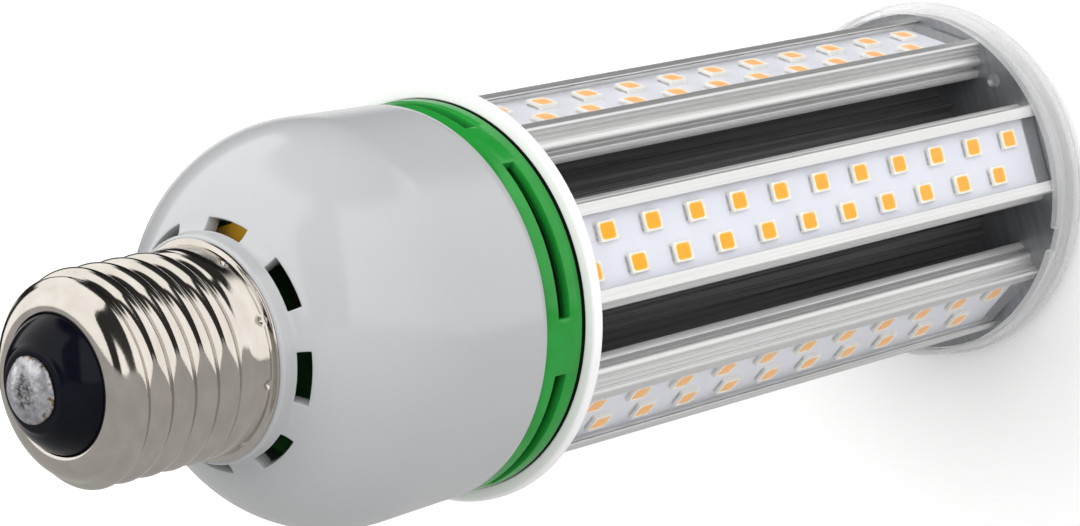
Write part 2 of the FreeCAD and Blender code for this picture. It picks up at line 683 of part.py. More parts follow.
def make_flange():
    """The white ring under the bowl, with a spigot and two posts for the driver board."""
    spigot = f"({VENT_BORE} - fit_play)"
    body = round_profile("flange_ring", [
        ("flange_bore", STRIP_TOP),
        ("flange_radius - flange_chamfer", STRIP_TOP),
        ("flange_radius", f"{STRIP_TOP} + flange_chamfer"),
        ("flange_radius", f"{FLANGE_TOP} - flange_chamfer"),
        ("flange_radius - flange_chamfer", FLANGE_TOP),
        (spigot, FLANGE_TOP),
        (spigot, f"{FLANGE_TOP} + spigot_height"),
        (f"{spigot} - spigot_wall", f"{FLANGE_TOP} + spigot_height"),
        (f"{spigot} - spigot_wall", FLANGE_TOP),
        ("flange_bore", FLANGE_TOP),
    ])
    posts = new_sketch(body, "XY_Plane", FLANGE_TOP)
    slot = f"({DRIVER_FACE} + driver_play)"
    outside = f"({slot} + post_wall)"
    far = "(driver_half + driver_play + post_wall)"
    near = f"({far} - post_size)"
    back = "(driver_half + driver_play)"
    for sign in ("1", "-1"):
        add_outline(posts, [
            (f"{sign} * {near}", f"-1 * {sign} * {outside}"),
            (f"{sign} * {far}", f"-1 * {sign} * {outside}"),
            (f"{sign} * {far}", f"{sign} * {outside}"),
            (f"{sign} * {near}", f"{sign} * {outside}"),
            (f"{sign} * {near}", f"{sign} * {slot}"),
            (f"{sign} * {back}", f"{sign} * {slot}"),
            (f"{sign} * {back}", f"-1 * {sign} * {slot}"),
            (f"{sign} * {near}", f"-1 * {sign} * {slot}"),
        ])
    pad(body, posts, "post_height")
    holes = new_sketch(body, "XY_Plane", FLANGE_TOP)
    add_circle(holes, "0", "-1 * screw_circle", "pass_radius")
    drilled = pocket(body, holes, f"flange_thick + {CUT_OVER}")
    around(body, [drilled], "screw_count")


def make_vent_ring():
    """The green ring: a foot on the flange ring, a lip in the bowl, and long slots."""
    foot = f"({VENT_BORE} + vent_wall / 2)"
    lip = "(bowl_foot_radius - bowl_wall - fit_play)"
    body = round_profile("vent_ring", [
        (VENT_BORE, FLANGE_TOP),
        (foot, FLANGE_TOP),
        (foot, VENT_BOTTOM),
        ("vent_radius", VENT_BOTTOM),
        ("vent_radius", VENT_TOP),
        (lip, VENT_TOP),
        (lip, f"{VENT_TOP} + vent_lip_height"),
        (VENT_BORE, f"{VENT_TOP} + vent_lip_height"),
    ])
    sketch = new_sketch(body, "XY_Plane", f"{VENT_TOP} - vent_slot_drop")
    inner = f"({VENT_BORE} - {CUT_OVER})"
    outer = f"(vent_radius + {CUT_OVER})"
    add_outline(sketch, sector_points(inner, outer, "vent_slot_turn", "vent_slot_angle"))
    slot = pocket(body, sketch, "vent_slot_width")
    around(body, [slot], "vent_slot_count", "vent_slot_pitch * (vent_slot_count - 1)")


def make_bowl():
    """The moulded bowl: barrel, round nose, collar with vent windows, and neck."""
    inner_arc = "(nose_radius - bowl_wall)"
    ceiling = f"({SHOULDER} - bowl_wall)"
    rise = f"asin(({ceiling} - {NOSE_START}) / {inner_arc})"
    inner_nose = [
        (
            f"{NOSE_CENTRE} + {inner_arc} * cos({rise} * {step} / {NOSE_STEPS})",
            f"{NOSE_START} + {inner_arc} * sin({rise} * {step} / {NOSE_STEPS})",
        )
        for step in reversed(range(NOSE_STEPS + 1))
    ]
    body = round_profile("bowl_housing", [
        ("bowl_foot_radius", VENT_TOP),
        ("bowl_radius", NOSE_START, "nose_radius"),
        (SHOULDER_RADIUS, SHOULDER),
        ("collar_radius", SHOULDER),
        ("collar_radius", f"{COLLAR_TOP} - collar_chamfer"),
        ("collar_radius - collar_chamfer", COLLAR_TOP),
        ("neck_radius", COLLAR_TOP),
        ("neck_radius", f"{COLLAR_TOP} + neck_height"),
        ("neck_radius - neck_wall", f"{COLLAR_TOP} + neck_height"),
        ("neck_radius - neck_wall", ceiling),
        *inner_nose,
        ("bowl_foot_radius - bowl_wall", VENT_TOP),
    ])
    sketch = new_sketch(body, "XY_Plane", f"{SHOULDER} + {CUT_OVER}")
    outer = f"({SHOULDER_RADIUS} + window_margin)"
    add_outline(sketch, sector_points("collar_radius", outer, "window_turn", "window_angle"))
    window = pocket(body, sketch, f"bowl_wall + {CUT_OVER} * 2")
    around(body, [window], "window_count")


def make_screw_shell():
    """The rolled cap: flared rim, skirt, a true helical thread, and the cone at its end."""
    cone_start = f"({SHELL_END} - shell_cone)"
    body = round_profile("screw_shell", [
        ("skirt_radius - skirt_sheet", COLLAR_TOP),
        ("shell_rim_radius", COLLAR_TOP),
        ("shell_rim_radius", f"{COLLAR_TOP} + shell_rim_height"),
        ("skirt_radius", f"{COLLAR_TOP} + shell_flare_height"),
        ("skirt_radius", f"{COLLAR_TOP} + skirt_height"),
        ("root_radius", f"{COLLAR_TOP} + skirt_height + shell_step"),
        ("root_radius", cone_start),
        ("shell_mouth + shell_curl", SHELL_END),
        ("shell_mouth", f"{SHELL_END} - shell_curl_drop"),
        ("shell_mouth", f"{SHELL_END} - shell_curl_drop - shell_sheet"),
        ("shell_bore", f"{cone_start} - shell_sheet"),
        ("shell_bore", f"{COLLAR_TOP} + skirt_height + shell_sheet"),
        ("skirt_radius - skirt_sheet", f"{COLLAR_TOP} + skirt_height - shell_sheet"),
    ], THREAD_TURN)
    ridge = new_sketch(body, "XZ_Plane")
    start = f"({COLLAR_TOP} + skirt_height + shell_step + thread_half)"
    add_outline(ridge, [
        ("root_radius - thread_sink", f"{start} - thread_half"),
        ("root_radius", f"{start} - thread_half"),
        ("crest_radius", f"{start} - crest_half"),
        ("crest_radius", f"{start} + crest_half"),
        ("root_radius", f"{start} + thread_half"),
        ("root_radius - thread_sink", f"{start} + thread_half"),
    ])
    thread = body.newObject("PartDesign::AdditiveHelix", "screw_shell_thread")
    thread.Profile = ridge
    thread.ReferenceAxis = (ridge, ["V_Axis"])
    thread.Mode = "pitch-height-angle"
    bind(thread, "Pitch", "thread_pitch")
    bind(thread, "Height", f"{cone_start} - thread_half - {start}")
    ridge.Visibility = False
    body.Tip = thread


def make_insulator():
    """The black glass between the shell and the contact, bored for the live wire."""
    bore = "(wire_radius + wire_play)"
    bottom = f"({SHELL_END} - glass_depth)"
    round_profile("cap_insulator", [
        (bore, bottom),
        ("glass_foot_radius", bottom),
        ("glass_foot_radius", f"{bottom} + glass_foot"),
        ("glass_radius", f"{bottom} + glass_foot * 2"),
        ("glass_radius", f"{SHELL_END} - shell_curl_drop"),
        ("glass_bend", f"{SHELL_END} + glass_bend_height"),
        ("glass_top", GLASS_TOP),
        (bore, GLASS_TOP),
    ])


def make_contact():
    """The solder blob on the tip."""
    swell = f"((contact_radius^2 + contact_height^2) / (2 * contact_height))"
    round_profile("centre_contact", [
        ("0", GLASS_TOP),
        ("contact_radius", GLASS_TOP, swell),
        ("0", f"{GLASS_TOP} + contact_height"),
    ])


def make_driver():
    """The driver board on edge in its posts, and the parts that stand on it."""
    board = new_body("driver_board")
    sketch = new_sketch(board, "XZ_Plane", f"-1 * {DRIVER_FACE}")
    shoulder = f"({FLANGE_TOP} + driver_low)"
    add_outline(sketch, [
        ("-1 * driver_half", FLANGE_TOP),
        ("driver_half", FLANGE_TOP),
        ("driver_half", shoulder),
        ("driver_neck_half", DRIVER_TOP),
        ("-1 * driver_neck_half", DRIVER_TOP),
        ("-1 * driver_half", shoulder),
    ])
    pad(board, sketch, "driver_thick")

    core_y = f"-1 * ({DRIVER_FACE} + ferrite_standoff + ferrite_depth)"
    base = f"({FLANGE_TOP} + ferrite_up)"
    block = solid(
        "Box", "ferrite_block",
        Length="ferrite_width", Width="ferrite_depth", Height="ferrite_height",
    )
    place(block, "ferrite_place", core_y, base)
    gap_width = "(ferrite_width - 2 * ferrite_leg)"
    gap_height = "(ferrite_height - 2 * ferrite_leg)"
    gap = solid(
        "Box", "ferrite_window",
        Length=gap_width, Width=f"ferrite_depth + {CUT_OVER} * 2", Height=gap_height,
    )
    place(gap, "ferrite_place + ferrite_leg", f"{core_y} - {CUT_OVER}", f"{base} + ferrite_leg")
    frame = doc.addObject("Part::Cut", "transformer_core")
    frame.Base = block
    frame.Tool = gap
    subparts.append(frame)

    winding = solid(
        "Box", "transformer_winding",
        Length=f"{gap_width} - 2 * coil_play",
        Width="winding_depth",
        Height=f"{gap_height} - 2 * coil_play",
    )
    place(
        winding,
        "ferrite_place + ferrite_leg + coil_play",
        f"-1 * ({DRIVER_FACE} + winding_depth)",
        f"{base} + ferrite_leg + coil_play",
    )
    subparts.append(winding)

    can = solid("Cylinder", "driver_capacitor", Radius="can_radius", Height="can_height")
    place(can, "-1 * can_place", f"-1 * ({DRIVER_FACE} + can_radius)", f"{FLANGE_TOP} + can_up")
    subparts.append(can)

    choke = new_body("driver_choke")
    discs = new_sketch(choke, "XZ_Plane", f"-1 * ({DRIVER_FACE} + choke_height)")
    middle = f"({FLANGE_TOP} + choke_up)"
    add_circle(discs, "choke_place", middle, "choke_waist")
    pad(choke, discs, "choke_height")
    for level in (f"{DRIVER_FACE} + choke_height", f"{DRIVER_FACE} + choke_flange"):
        disc = new_sketch(choke, "XZ_Plane", f"-1 * ({level})")
        add_circle(disc, "choke_place", middle, "choke_radius")
        pad(choke, disc, "choke_flange")

    bridge = solid(
        "Box", "driver_rectifier",
        Length="bridge_width", Width="bridge_depth", Height="bridge_height",
    )
    place(bridge, "-1 * bridge_place - bridge_width / 2", DRIVER_FACE, f"{FLANGE_TOP} + bridge_up")
    subparts.append(bridge)

    film = solid(
        "Box", "driver_film_capacitor",
        Length="film_width", Width="film_depth", Height="film_height",
    )
    place(film, "film_place", f"-1 * ({DRIVER_FACE} + film_depth)", f"{FLANGE_TOP} + film_up")
    subparts.append(film)


def make_straight_wires():
    """The live wire on the axis and the two dc leads through the core."""
    live = solid("Cylinder", "live_wire", Radius="wire_radius", Height=f"{GLASS_TOP} - {DRIVER_TOP}")
    place(live, "0", "0", DRIVER_TOP)
    subparts.append(live)
    for label, sign in (("dc_lead_positive", "1"), ("dc_lead_negative", "-1")):
        length = f"{FLANGE_TOP} - cover_ledge"
        lead = solid("Cylinder", label, Radius="wire_radius", Height=length)
        place(lead, f"{sign} * lead_place", "0", "cover_ledge")
        subparts.append(lead)


def bent_path(points, bend):
    """A wire of straight runs with a tangent arc of one radius at each inner point."""
    edges = []
    here = points[0]
    for before, corner, after in zip(points, points[1:], points[2:]):
        back = (before - corner).normalize()
        onward = (after - corner).normalize()
        half = back.getAngle(onward) / 2
        reach = bend / math.tan(half)
        middle = corner + (back + onward).normalize() * (bend / math.sin(half) - bend)
        start = corner + back * reach
        end = corner + onward * reach
        edges.append(Part.LineSegment(here, start).toShape())
        edges.append(Part.Arc(start, middle, end).toShape())
        here = end
    edges.append(Part.LineSegment(here, points[-1]).toShape())
    return Part.Wire(edges)


def make_neutral_wire():
    """The neutral wire, bent from the driver board to the inside of the shell."""
    top = value(DRIVER_TOP)
    near = value("neutral_place")
    wall = value("shell_bore - wire_radius - wire_play / 2")
    rise = value("neutral_rise")
    slope = value("neutral_slope")
    end = value("neutral_end")
    stops = [(near, top), (near, top + rise), (wall, top + rise + slope)]
    stops.append((wall, top + rise + slope + end))
    path = bent_path([FreeCAD.Vector(x, 0, z) for x, z in stops], value("neutral_bend"))
    ring = Part.Circle(FreeCAD.Vector(near, 0, top), FreeCAD.Vector(0, 0, 1), value("wire_radius"))
    section = Part.Wire([ring.toShape()])
    wire = doc.addObject("Part::Feature", "neutral_wire")
    wire.Shape = path.makePipeShell([section], True, True)
    wire.Placement = FreeCAD.Placement()
    subparts.append(wire)


def check_and_write():
    """Stops on any failed object, then writes one file for each sub-part."""
    doc.recompute()
    for item in doc.Objects:
        if {"Invalid", "Error"} & set(item.State):
            raise ValueError(f"{item.Label}: {item.State}")
    os.makedirs("parts", exist_ok=True)
    for item in subparts:
        shape = item.Shape
        if shape.isNull() or not shape.isValid() or not shape.Solids:
            raise ValueError(item.Label + ": the shape is not valid")
        shape.exportStep(f"parts/{item.Label}.step")
        box = shape.BoundBox
        print(
            f"{item.Label}: {len(shape.Solids)} solids, {shape.Volume:.1f} mm3,"
            f" z {box.ZMin:.2f} to {box.ZMax:.2f}"
        )


make_end_cover()
make_end_plate()
make_end_board()
make_end_leds()
make_core()
for number in range(1, SIDES + 1):
    turn = FULL_TURN / SIDES * (number - 1)
    make_strip(number, turn)
    make_board(number, turn)
    make_leds(number, turn)
    make_clear_strip(number, turn)
make_screws("end_screws", "cover_ledge", up=True)
make_screws("base_screws", FLANGE_TOP, up=False)
make_flange()
make_vent_ring()
make_bowl()
make_screw_shell()
make_insulator()
make_contact()
make_driver()
make_straight_wires()
make_neutral_wire()
check_and_write()
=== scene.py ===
# %% [markdown]
# # A corn led bulb, dressed over its solid model
#
# The bulb was first modelled as solids, piece by piece. This lesson gives those solids their
# looks. Where a solid is already right it keeps its shape and only gets a finish. Where the
# real piece is rolled, moulded or pressed, a smooth surface worked out with numpy takes its
# place. Lengths are in millimetres until a mesh is made, and there they become metres.

import json
import math

import bmesh
import bpy
import numpy as np
from mathutils import Matrix, Vector


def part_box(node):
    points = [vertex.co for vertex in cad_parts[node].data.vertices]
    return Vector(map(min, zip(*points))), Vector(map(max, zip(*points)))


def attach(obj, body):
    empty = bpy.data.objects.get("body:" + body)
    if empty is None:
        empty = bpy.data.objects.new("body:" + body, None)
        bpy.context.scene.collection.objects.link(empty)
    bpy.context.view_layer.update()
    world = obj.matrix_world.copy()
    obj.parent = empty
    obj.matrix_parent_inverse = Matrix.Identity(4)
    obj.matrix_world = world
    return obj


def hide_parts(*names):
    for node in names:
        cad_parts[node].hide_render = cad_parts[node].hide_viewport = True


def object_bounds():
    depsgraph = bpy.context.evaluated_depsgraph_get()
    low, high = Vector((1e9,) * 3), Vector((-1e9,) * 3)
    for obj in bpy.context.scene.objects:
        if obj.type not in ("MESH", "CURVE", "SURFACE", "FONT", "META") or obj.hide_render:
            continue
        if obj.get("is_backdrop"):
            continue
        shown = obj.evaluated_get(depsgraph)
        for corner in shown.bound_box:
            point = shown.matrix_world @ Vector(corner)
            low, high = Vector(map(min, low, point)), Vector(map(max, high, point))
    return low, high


MM = 0.001
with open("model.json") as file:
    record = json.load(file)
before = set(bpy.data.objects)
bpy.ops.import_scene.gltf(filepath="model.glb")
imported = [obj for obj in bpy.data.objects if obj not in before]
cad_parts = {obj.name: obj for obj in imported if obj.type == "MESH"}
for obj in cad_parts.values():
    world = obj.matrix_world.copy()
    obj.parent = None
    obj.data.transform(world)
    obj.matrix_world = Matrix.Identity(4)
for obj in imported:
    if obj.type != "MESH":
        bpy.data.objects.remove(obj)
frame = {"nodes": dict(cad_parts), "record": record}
nodes = frame["nodes"]
cad_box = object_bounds()
bpy.context.scene.view_settings.view_transform = "Standard"
print("solids loaded:", len(nodes))

# %% [markdown]
# ## Levels and radii, read from the solids
#
# Every new surface has to sit exactly where its solid sits. So the levels along the axis are
# measured on the solids, and are never typed in a second time.


# %% Levels
def span(node):
    """Lowest and highest corner of a solid, in millimetres."""
    low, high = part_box(node)
    return np.array(low) / MM, np.array(high) / MM


plate_low = span("end_plate")[0][2]
(_, _, flange_low), (flange_radius, _, _) = span("flange_ring")
(_, _, flange_top), (vent_radius, _, _) = span("vent_ring")
(_, _, bowl_foot), (bowl_radius, _, neck_top) = span("bowl_housing")
(_, _, collar_top), (rim_radius, _, shell_end) = span("screw_shell")
(_, _, glass_low), (glass_foot_radius, _, glass_top) = span("cap_insulator")
_, (contact_radius, _, contact_top) = span("centre_contact")
_, (cover_radius, _, cover_top) = span("end_cover")
board_front = -span("led_board_1")[0][1]
led_front = -span("led_group_1")[0][1]
print("axis from", round(span("end_cover")[0][2], 2), "to", round(contact_top, 2), "mm")

# %% [markdown]
# ## Grids of points
#
# Most pieces of a bulb are round. A modifier can spin an outline, but every later change then
# needs another modifier. Here a piece is a grid instead: rows follow the outline, columns go
# round the axis, and a point's place is a formula of both. Thread, dents and notches are then
# only small changes to that formula.


# %% Outlines
def rounded(corners, radii, steps=7):
    """Rounds the corners of a closed outline.

    With unit vectors p and q from a corner to its neighbours, the centre of an arc of radius r
    that touches both sides is corner + (p + q) r / |p x q|. The arc's points are turned evenly
    from one touching point to the other.
    """
    corner = np.array(corners, float)
    radius = np.array(radii, float)[:, None]
    p = np.roll(corner, 1, axis=0) - corner
    q = np.roll(corner, -1, axis=0) - corner
    p /= np.linalg.norm(p, axis=1, keepdims=True)
    q /= np.linalg.norm(q, axis=1, keepdims=True)
    cross = np.maximum(np.abs(p[:, :1] * q[:, 1:] - p[:, 1:] * q[:, :1]), 1e-9)
    dot = (p * q).sum(axis=1, keepdims=True)
    reach = radius * (1 + dot) / cross
    centre = corner + (p + q) * radius / cross
    first = corner + p * reach - centre
    last = corner + q * reach - centre
    turn = np.maximum(np.pi - np.arctan2(cross, dot), 1e-9)[:, None]
    share = np.linspace(0, 1, steps + 1)[None, :, None]
    arc = first[:, None] * np.sin((1 - share) * turn) + last[:, None] * np.sin(share * turn)
    points = (centre[:, None] + arc / np.sin(turn)).reshape(-1, 2)
    gap = np.linalg.norm(points - np.roll(points, 1, axis=0), axis=1)
    return points[gap > 1e-7]


def dense(outline, spacing):
    """Adds points to a closed outline, at most one spacing apart along each of its sides.

    Its length s grows from corner to corner, and evenly spaced values of s are put in between.
    """
    closed = np.vstack([outline, outline[:1]])
    length = np.r_[0, np.cumsum(np.linalg.norm(np.diff(closed, axis=0), axis=1))]
    extra = np.arange(0, length[-1], spacing)
    near = np.abs(extra[:, None] - length[None, :]).min(axis=1)
    places = np.union1d(length[:-1], extra[near > spacing / 3])
    return np.stack([np.interp(places, length, axis) for axis in closed.T], axis=1)


def angles_round(count):
    """Angles all the way round, evenly spaced, without the last one that repeats the first."""
    return np.arange(count) * 2 * np.pi / count


def from_front(degrees):
    """An angle counted from the front strip, which faces -Y, as an angle from X in radians."""
    return np.radians(np.asarray(degrees, float) - 90)


def arc_of(centre, radius, turns):
    """Points centre + radius (cos t, sin t). Two radii, across and up, make an ellipse."""
    return np.array(centre) + np.multiply(radius, np.stack([np.cos(turns), np.sin(turns)], axis=1))


least_gap = 0.4


def columns_with(special, step):
    """Column angles in degrees: the special ones, and even ones that don't crowd them."""
    even = np.arange(0, 360, step) - 180
    free = np.abs(even[:, None] - special).min(axis=1) > least_gap
    return np.sort(np.r_[even[free], special])


def apart(degrees, others):
    """How far each angle lies from each of the others, the short way round."""
    return np.abs((degrees[:, None] - np.array(others) + 180) % 360 - 180)


def rectangle(half, low, high):
    """The corners of a rectangle from low to high, anticlockwise, half a width on each side."""
    return np.array([(-half, low), (half, low), (half, high), (-half, high)])


print("a rounded square has", len(rounded(rectangle(1, 0, 2), [0.2] * 4)), "points")

# %% [markdown]
# ## From a grid to a mesh
#
# Neighbouring points of the grid make the quads. A row that lies on the axis has all its
# points in one place, so points that fall together are merged, and the pole closes.


# %% Mesh helpers
def quads_of(rows, columns, closed_rows, closed_columns):
    """Point numbers of every quad. Point (i, j) has number i * columns + j."""
    number = np.arange(rows * columns).reshape(rows, columns)
    if closed_rows:
        number = np.vstack([number, number[:1]])
    if closed_columns:
        number = np.hstack([number, number[:, :1]])
    sides = [number[:-1, :-1], number[:-1, 1:], number[1:, 1:], number[1:, :-1]]
    return np.stack(sides, axis=-1)


def mesh_of(name, grid, closed_rows=True, closed_columns=True, keep=None, sharp=35):
    """A mesh from a rows x columns x 3 array in millimetres. Quads outside keep are left out.

    Columns run anticlockwise round Z and rows run up the outside, so faces point outwards.
    """
    quads = quads_of(*grid.shape[:2], closed_rows, closed_columns)
    quads = quads[keep] if keep is not None else quads.reshape(-1, 4)
    mesh = bpy.data.meshes.new(name)
    mesh.from_pydata((grid.reshape(-1, 3) * MM).tolist(), [], quads.tolist())
    clean(mesh, sharp)
    return mesh


def clean(mesh, sharp):
    """Merges points in one place, drops points of no face, and shades smooth up to an angle."""
    work = bmesh.new()
    work.from_mesh(mesh)
    bmesh.ops.remove_doubles(work, verts=work.verts, dist=1e-7)
    loose = [point for point in work.verts if not point.link_faces]
    bmesh.ops.delete(work, geom=loose, context="VERTS")
    work.to_mesh(mesh)
    work.free()
    shade(mesh, sharp)


def shade(mesh, sharp):
    """Shades smooth, but leaves edges sharp that turn by more than an angle in degrees."""
    mesh.polygons.foreach_set("use_smooth", np.ones(len(mesh.polygons), bool))
    mesh.set_sharp_from_angle(angle=math.radians(sharp))


def listed_mesh(name, points, faces, sharp):
    """A mesh from points in millimetres and a list of faces with any number of sides."""
    mesh = bpy.data.meshes.new(name)
    mesh.from_pydata((points * MM).tolist(), [], faces)
    shade(mesh, sharp)
    return mesh


def polar(radius, height, angles):
    """Points (r cos a, r sin a, height). Radius and height are columns or whole grids."""
    x = radius * np.cos(angles)
    return np.stack([x, radius * np.sin(angles), np.broadcast_to(height, x.shape)], axis=-1)


def turned(outline, angles):
    """Carries an outline of (radius, height) round Z."""
    return polar(outline[:, :1], outline[:, 1:], angles)


def swung(x, y, degrees):
    """Turns x and y round Z: (x cos a - y sin a, x sin a + y cos a)."""
    angle = math.radians(degrees)
    return x * math.cos(angle) - y * math.sin(angle), x * math.sin(angle) + y * math.cos(angle)


def placed(name, data):
    """A new object in the scene, at the origin."""
    thing = bpy.data.objects.new(name, data)
    bpy.context.scene.collection.objects.link(thing)
    return thing


def add_piece(mesh, finishes, replaced):
    """Puts a finished mesh in the scene, in place of its solid."""
    piece = placed(mesh.name, mesh)
    for finish in finishes:
        mesh.materials.append(finish)
    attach(piece, "root")
    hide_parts(replaced)
    print(f"{piece.name}: {len(mesh.vertices)} points, {len(mesh.polygons)} faces")
    return piece


# %% [markdown]
# ## Finishes
#
# A finish is a Principled shader with a little life in it. Real surfaces are never one colour
# or one roughness, so noise on Object coordinates varies both, and the same noise gives a
# faint bump. Stretching the noise along one axis turns it into the lines of an extrusion or
# a brushed plate. One function makes every plain finish of the bulb.


# %% Finish helpers
noise_reach = (0.3, 0.7)


def plug(tree, node, inputs):
    """Links each input of a node to a socket, or sets it to a number or a list."""
    for name, value in inputs.items():
        if isinstance(value, bpy.types.NodeSocket):
            tree.links.new(value, node.inputs[name])
        else:
            node.inputs[name].default_value = value


def node_on(tree, kind, inputs=None, operation=None):
    """A new shader node of some kind, with its inputs."""
    node = tree.nodes.new("ShaderNode" + kind)
    if operation:
        node.operation = operation
    plug(tree, node, inputs or {})
    return node


def inside_of(material):
    """The node tree of a material and its Principled shader."""
    return material.node_tree, material.node_tree.nodes["Principled BSDF"]


def blank(name):
    """A new material with its node tree and its Principled shader."""
    material = bpy.data.materials.new(name)
    material.use_nodes = True
    return material, *inside_of(material)


def noise_on(tree, size, stretch=(1, 1, 1), detail=4.0):
    """Noise with patches of one size in millimetres, stretched along the axes."""
    place = node_on(tree, "TexCoord").outputs["Object"]
    scale = [1 / factor for factor in stretch]
    place = node_on(tree, "Mapping", {"Vector": place, "Scale": scale}).outputs["Vector"]
    noise = {"Vector": place, "Scale": 1 / (size * MM), "Detail": detail}
    return node_on(tree, "TexNoise", noise).outputs["Fac"]


def ramp_on(tree, factor, stops):
    """A colour ramp with (place, colour) stops."""
    ramp = tree.nodes.new("ShaderNodeValToRGB")
    elements = ramp.color_ramp.elements
    elements[0].position, elements[-1].position = stops[0][0], stops[-1][0]
    for place, _ in stops[1:-1]:
        elements.new(place)
    for element, (_, colour) in zip(elements, stops):
        element.color = (*colour, 1)
    tree.links.new(factor, ramp.inputs["Fac"])
    return ramp.outputs["Color"]


def ranged(tree, value, start, stop, low=0.0, high=1.0, curve="LINEAR"):
    """Runs from low to high while the value runs from start to stop."""
    limits = {"Value": value, "From Min": start, "From Max": stop, "To Min": low, "To Max": high}
    scale = node_on(tree, "MapRange", limits)
    scale.interpolation_type = curve
    return scale.outputs["Result"]


def between(tree, noise, low, high):
    """Maps noise, which mostly runs from 0.3 to 0.7, onto low to high."""
    return ranged(tree, noise, *noise_reach, low, high)


def tones_on(tree, noise, dark, light):
    """Runs from a dark to a light tone over the usual reach of noise."""
    return ramp_on(tree, noise, list(zip(noise_reach, (dark, light))))


def combined(tree, operation, *items):
    """One number from others, such as their product or the largest one."""
    return node_on(tree, "Math", dict(enumerate(items)), operation).outputs["Value"]


def blend_on(tree, factor, first, second):
    """Mixes two colours by a factor."""
    mix = node_on(tree, "Mix")
    mix.data_type = "RGBA"
    plug(tree, mix, {"Factor": factor, "A": first, "B": second})
    return mix.outputs["Result"]


def length_on(tree, axes):
    """Length of the Object coordinates along some of the axes, in millimetres."""
    place = node_on(tree, "TexCoord").outputs["Object"]
    scale = [axis / MM for axis in axes]
    place = node_on(tree, "VectorMath", {0: place, 1: scale}, "MULTIPLY").outputs["Vector"]
    return node_on(tree, "VectorMath", {0: place}, "LENGTH").outputs["Value"]


def above(tree, level, blur):
    """1 above a level on the bulb and 0 below it, with a short run in between."""
    return ranged(tree, length_on(tree, (0, 0, 1)), level, level + blur)


def bump_on(tree, shader, height, depth):
    """A bump whose height is a factor times a depth in millimetres."""
    bump = node_on(tree, "Bump", {"Strength": 1.0, "Distance": depth * MM, "Height": height})
    tree.links.new(bump.outputs["Normal"], shader.inputs["Normal"])


def make_finish(
    name, dark, light, rough, size, stretch=(1, 1, 1), detail=4.0, depth=0.0, metal=0.0,
    specular=0.5, coat=0.0,
):
    """A finish whose colour runs between two tones and whose roughness runs between two values."""
    material, tree, shader = blank(name)
    noise = noise_on(tree, size, stretch, detail)
    plug(tree, shader, {
        "Base Color": tones_on(tree, noise, dark, light),
        "Roughness": between(tree, noise, *rough),
        "Metallic": metal,
        "Specular IOR Level": specular,
        "Coat Weight": coat,
        "Coat Roughness": 0.04,
    })
    if depth:
        bump_on(tree, shader, noise, depth)
    return material


def retone(tree, shader, factor, dark, light):
    """Gives a plain finish two other tones wherever the factor is 1."""
    plain = shader.inputs["Base Color"].links[0].from_socket
    noise = plain.node.inputs["Fac"].links[0].from_socket
    other = tones_on(tree, noise, dark, light)
    plug(tree, shader, {"Base Color": blend_on(tree, factor, plain, other)})


# %% [markdown]
# ## Camera
#
# The camera's place comes from the bulb itself: the known screw thread and the straight
# strips fix where the photographer's camera was, how long its lens was and how it was
# turned. It is rolled by about a quarter turn, so the standing bulb lies across the picture.

# %% Camera
camera_place = Vector((-8.405, -332.390, 437.445)) * MM
picture_right = Vector((-0.24719, -0.69748, -0.67262))
picture_up = Vector((0.96877, -0.19188, -0.15705))
lens_length = 119.76
sensor_width = 36.0

camera_data = bpy.data.cameras.new("camera")
camera_data.lens = lens_length
camera_data.sensor_width = sensor_width
camera_data.clip_start = 0.01
camera = placed("camera", camera_data)
picture_back = picture_right.cross(picture_up)
turn = Matrix((picture_right, picture_up, picture_back)).transposed()
camera.matrix_world = Matrix.Translation(camera_place) @ turn.to_4x4()
bpy.context.scene.camera = camera
print("camera looks down by", round(math.degrees(math.asin(picture_back.z))), "degrees")

# %% [markdown]
# ## Floor and studio
#
# The floor is a plain pale sheet, large enough to fill the view. Polished metal shows the
# room it stands in more than its own colour, so the room matters as much as the lamps. Here
# the sky itself is the studio: two large soft boxes side by side with a dark gap, a dim room
# below them in the picture, and black behind, up to the white backdrop. The metal should
# mirror this studio and not the floor, so the floor is hidden from mirror rays, and so is the
# wide soft lamp overhead, which only lifts the shadows.

# %% Floor
floor_size = 6000.0
floor_lines = 24
spread = np.linspace(-floor_size / 2, floor_size / 2, floor_lines)
floor_x, floor_y = np.meshgrid(spread, spread)
floor_grid = np.stack([floor_x, floor_y, np.zeros_like(floor_x)], axis=-1)
floor_mesh = mesh_of("floor", floor_grid, closed_rows=False, closed_columns=False)
floor_finish = make_finish(
    "pale_floor", (0.965, 0.965, 0.968), (0.98, 0.98, 0.983), (0.85, 0.95), size=60.0
)
floor_mesh.materials.append(floor_finish)
floor = placed("floor", floor_mesh)
floor.visible_glossy = False
floor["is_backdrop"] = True
print("floor faces up:", floor_mesh.polygons[0].normal.z > 0)


# %% [markdown]
# Every edge of the studio is a short span of a direction's share along an axis, which runs
# from -1 to 1. The light changes smoothly over that span.

# %% Studio
box_light = 1.4
dim_light = 0.5
gap_light = 0.04
black_light = 0.02
backdrop_light = 0.9
box_foot = (-0.14, -0.05)
box_head = (0.82, 0.92)
right_side = (-0.10, -0.02)
right_back = (-0.42, -0.25)
left_side = (-0.30, -0.22)
left_back = (-0.7, -0.6)
gap_widens = (0.45, 0.70)
gap_more = 0.3
black_edge = (-0.45, -0.28)
backdrop_edge = (-0.97, -0.86)
backdrop_foot = (0.02, 0.15)
lamp_light = 2.0
lamp_spread = 70
lamp_place = Vector((0.35, -0.30, 0.89))

world = bpy.data.worlds.new("studio")
world.use_nodes = True
bpy.context.scene.world = world
sky = world.node_tree
direction = node_on(sky, "TexCoord").outputs["Generated"]


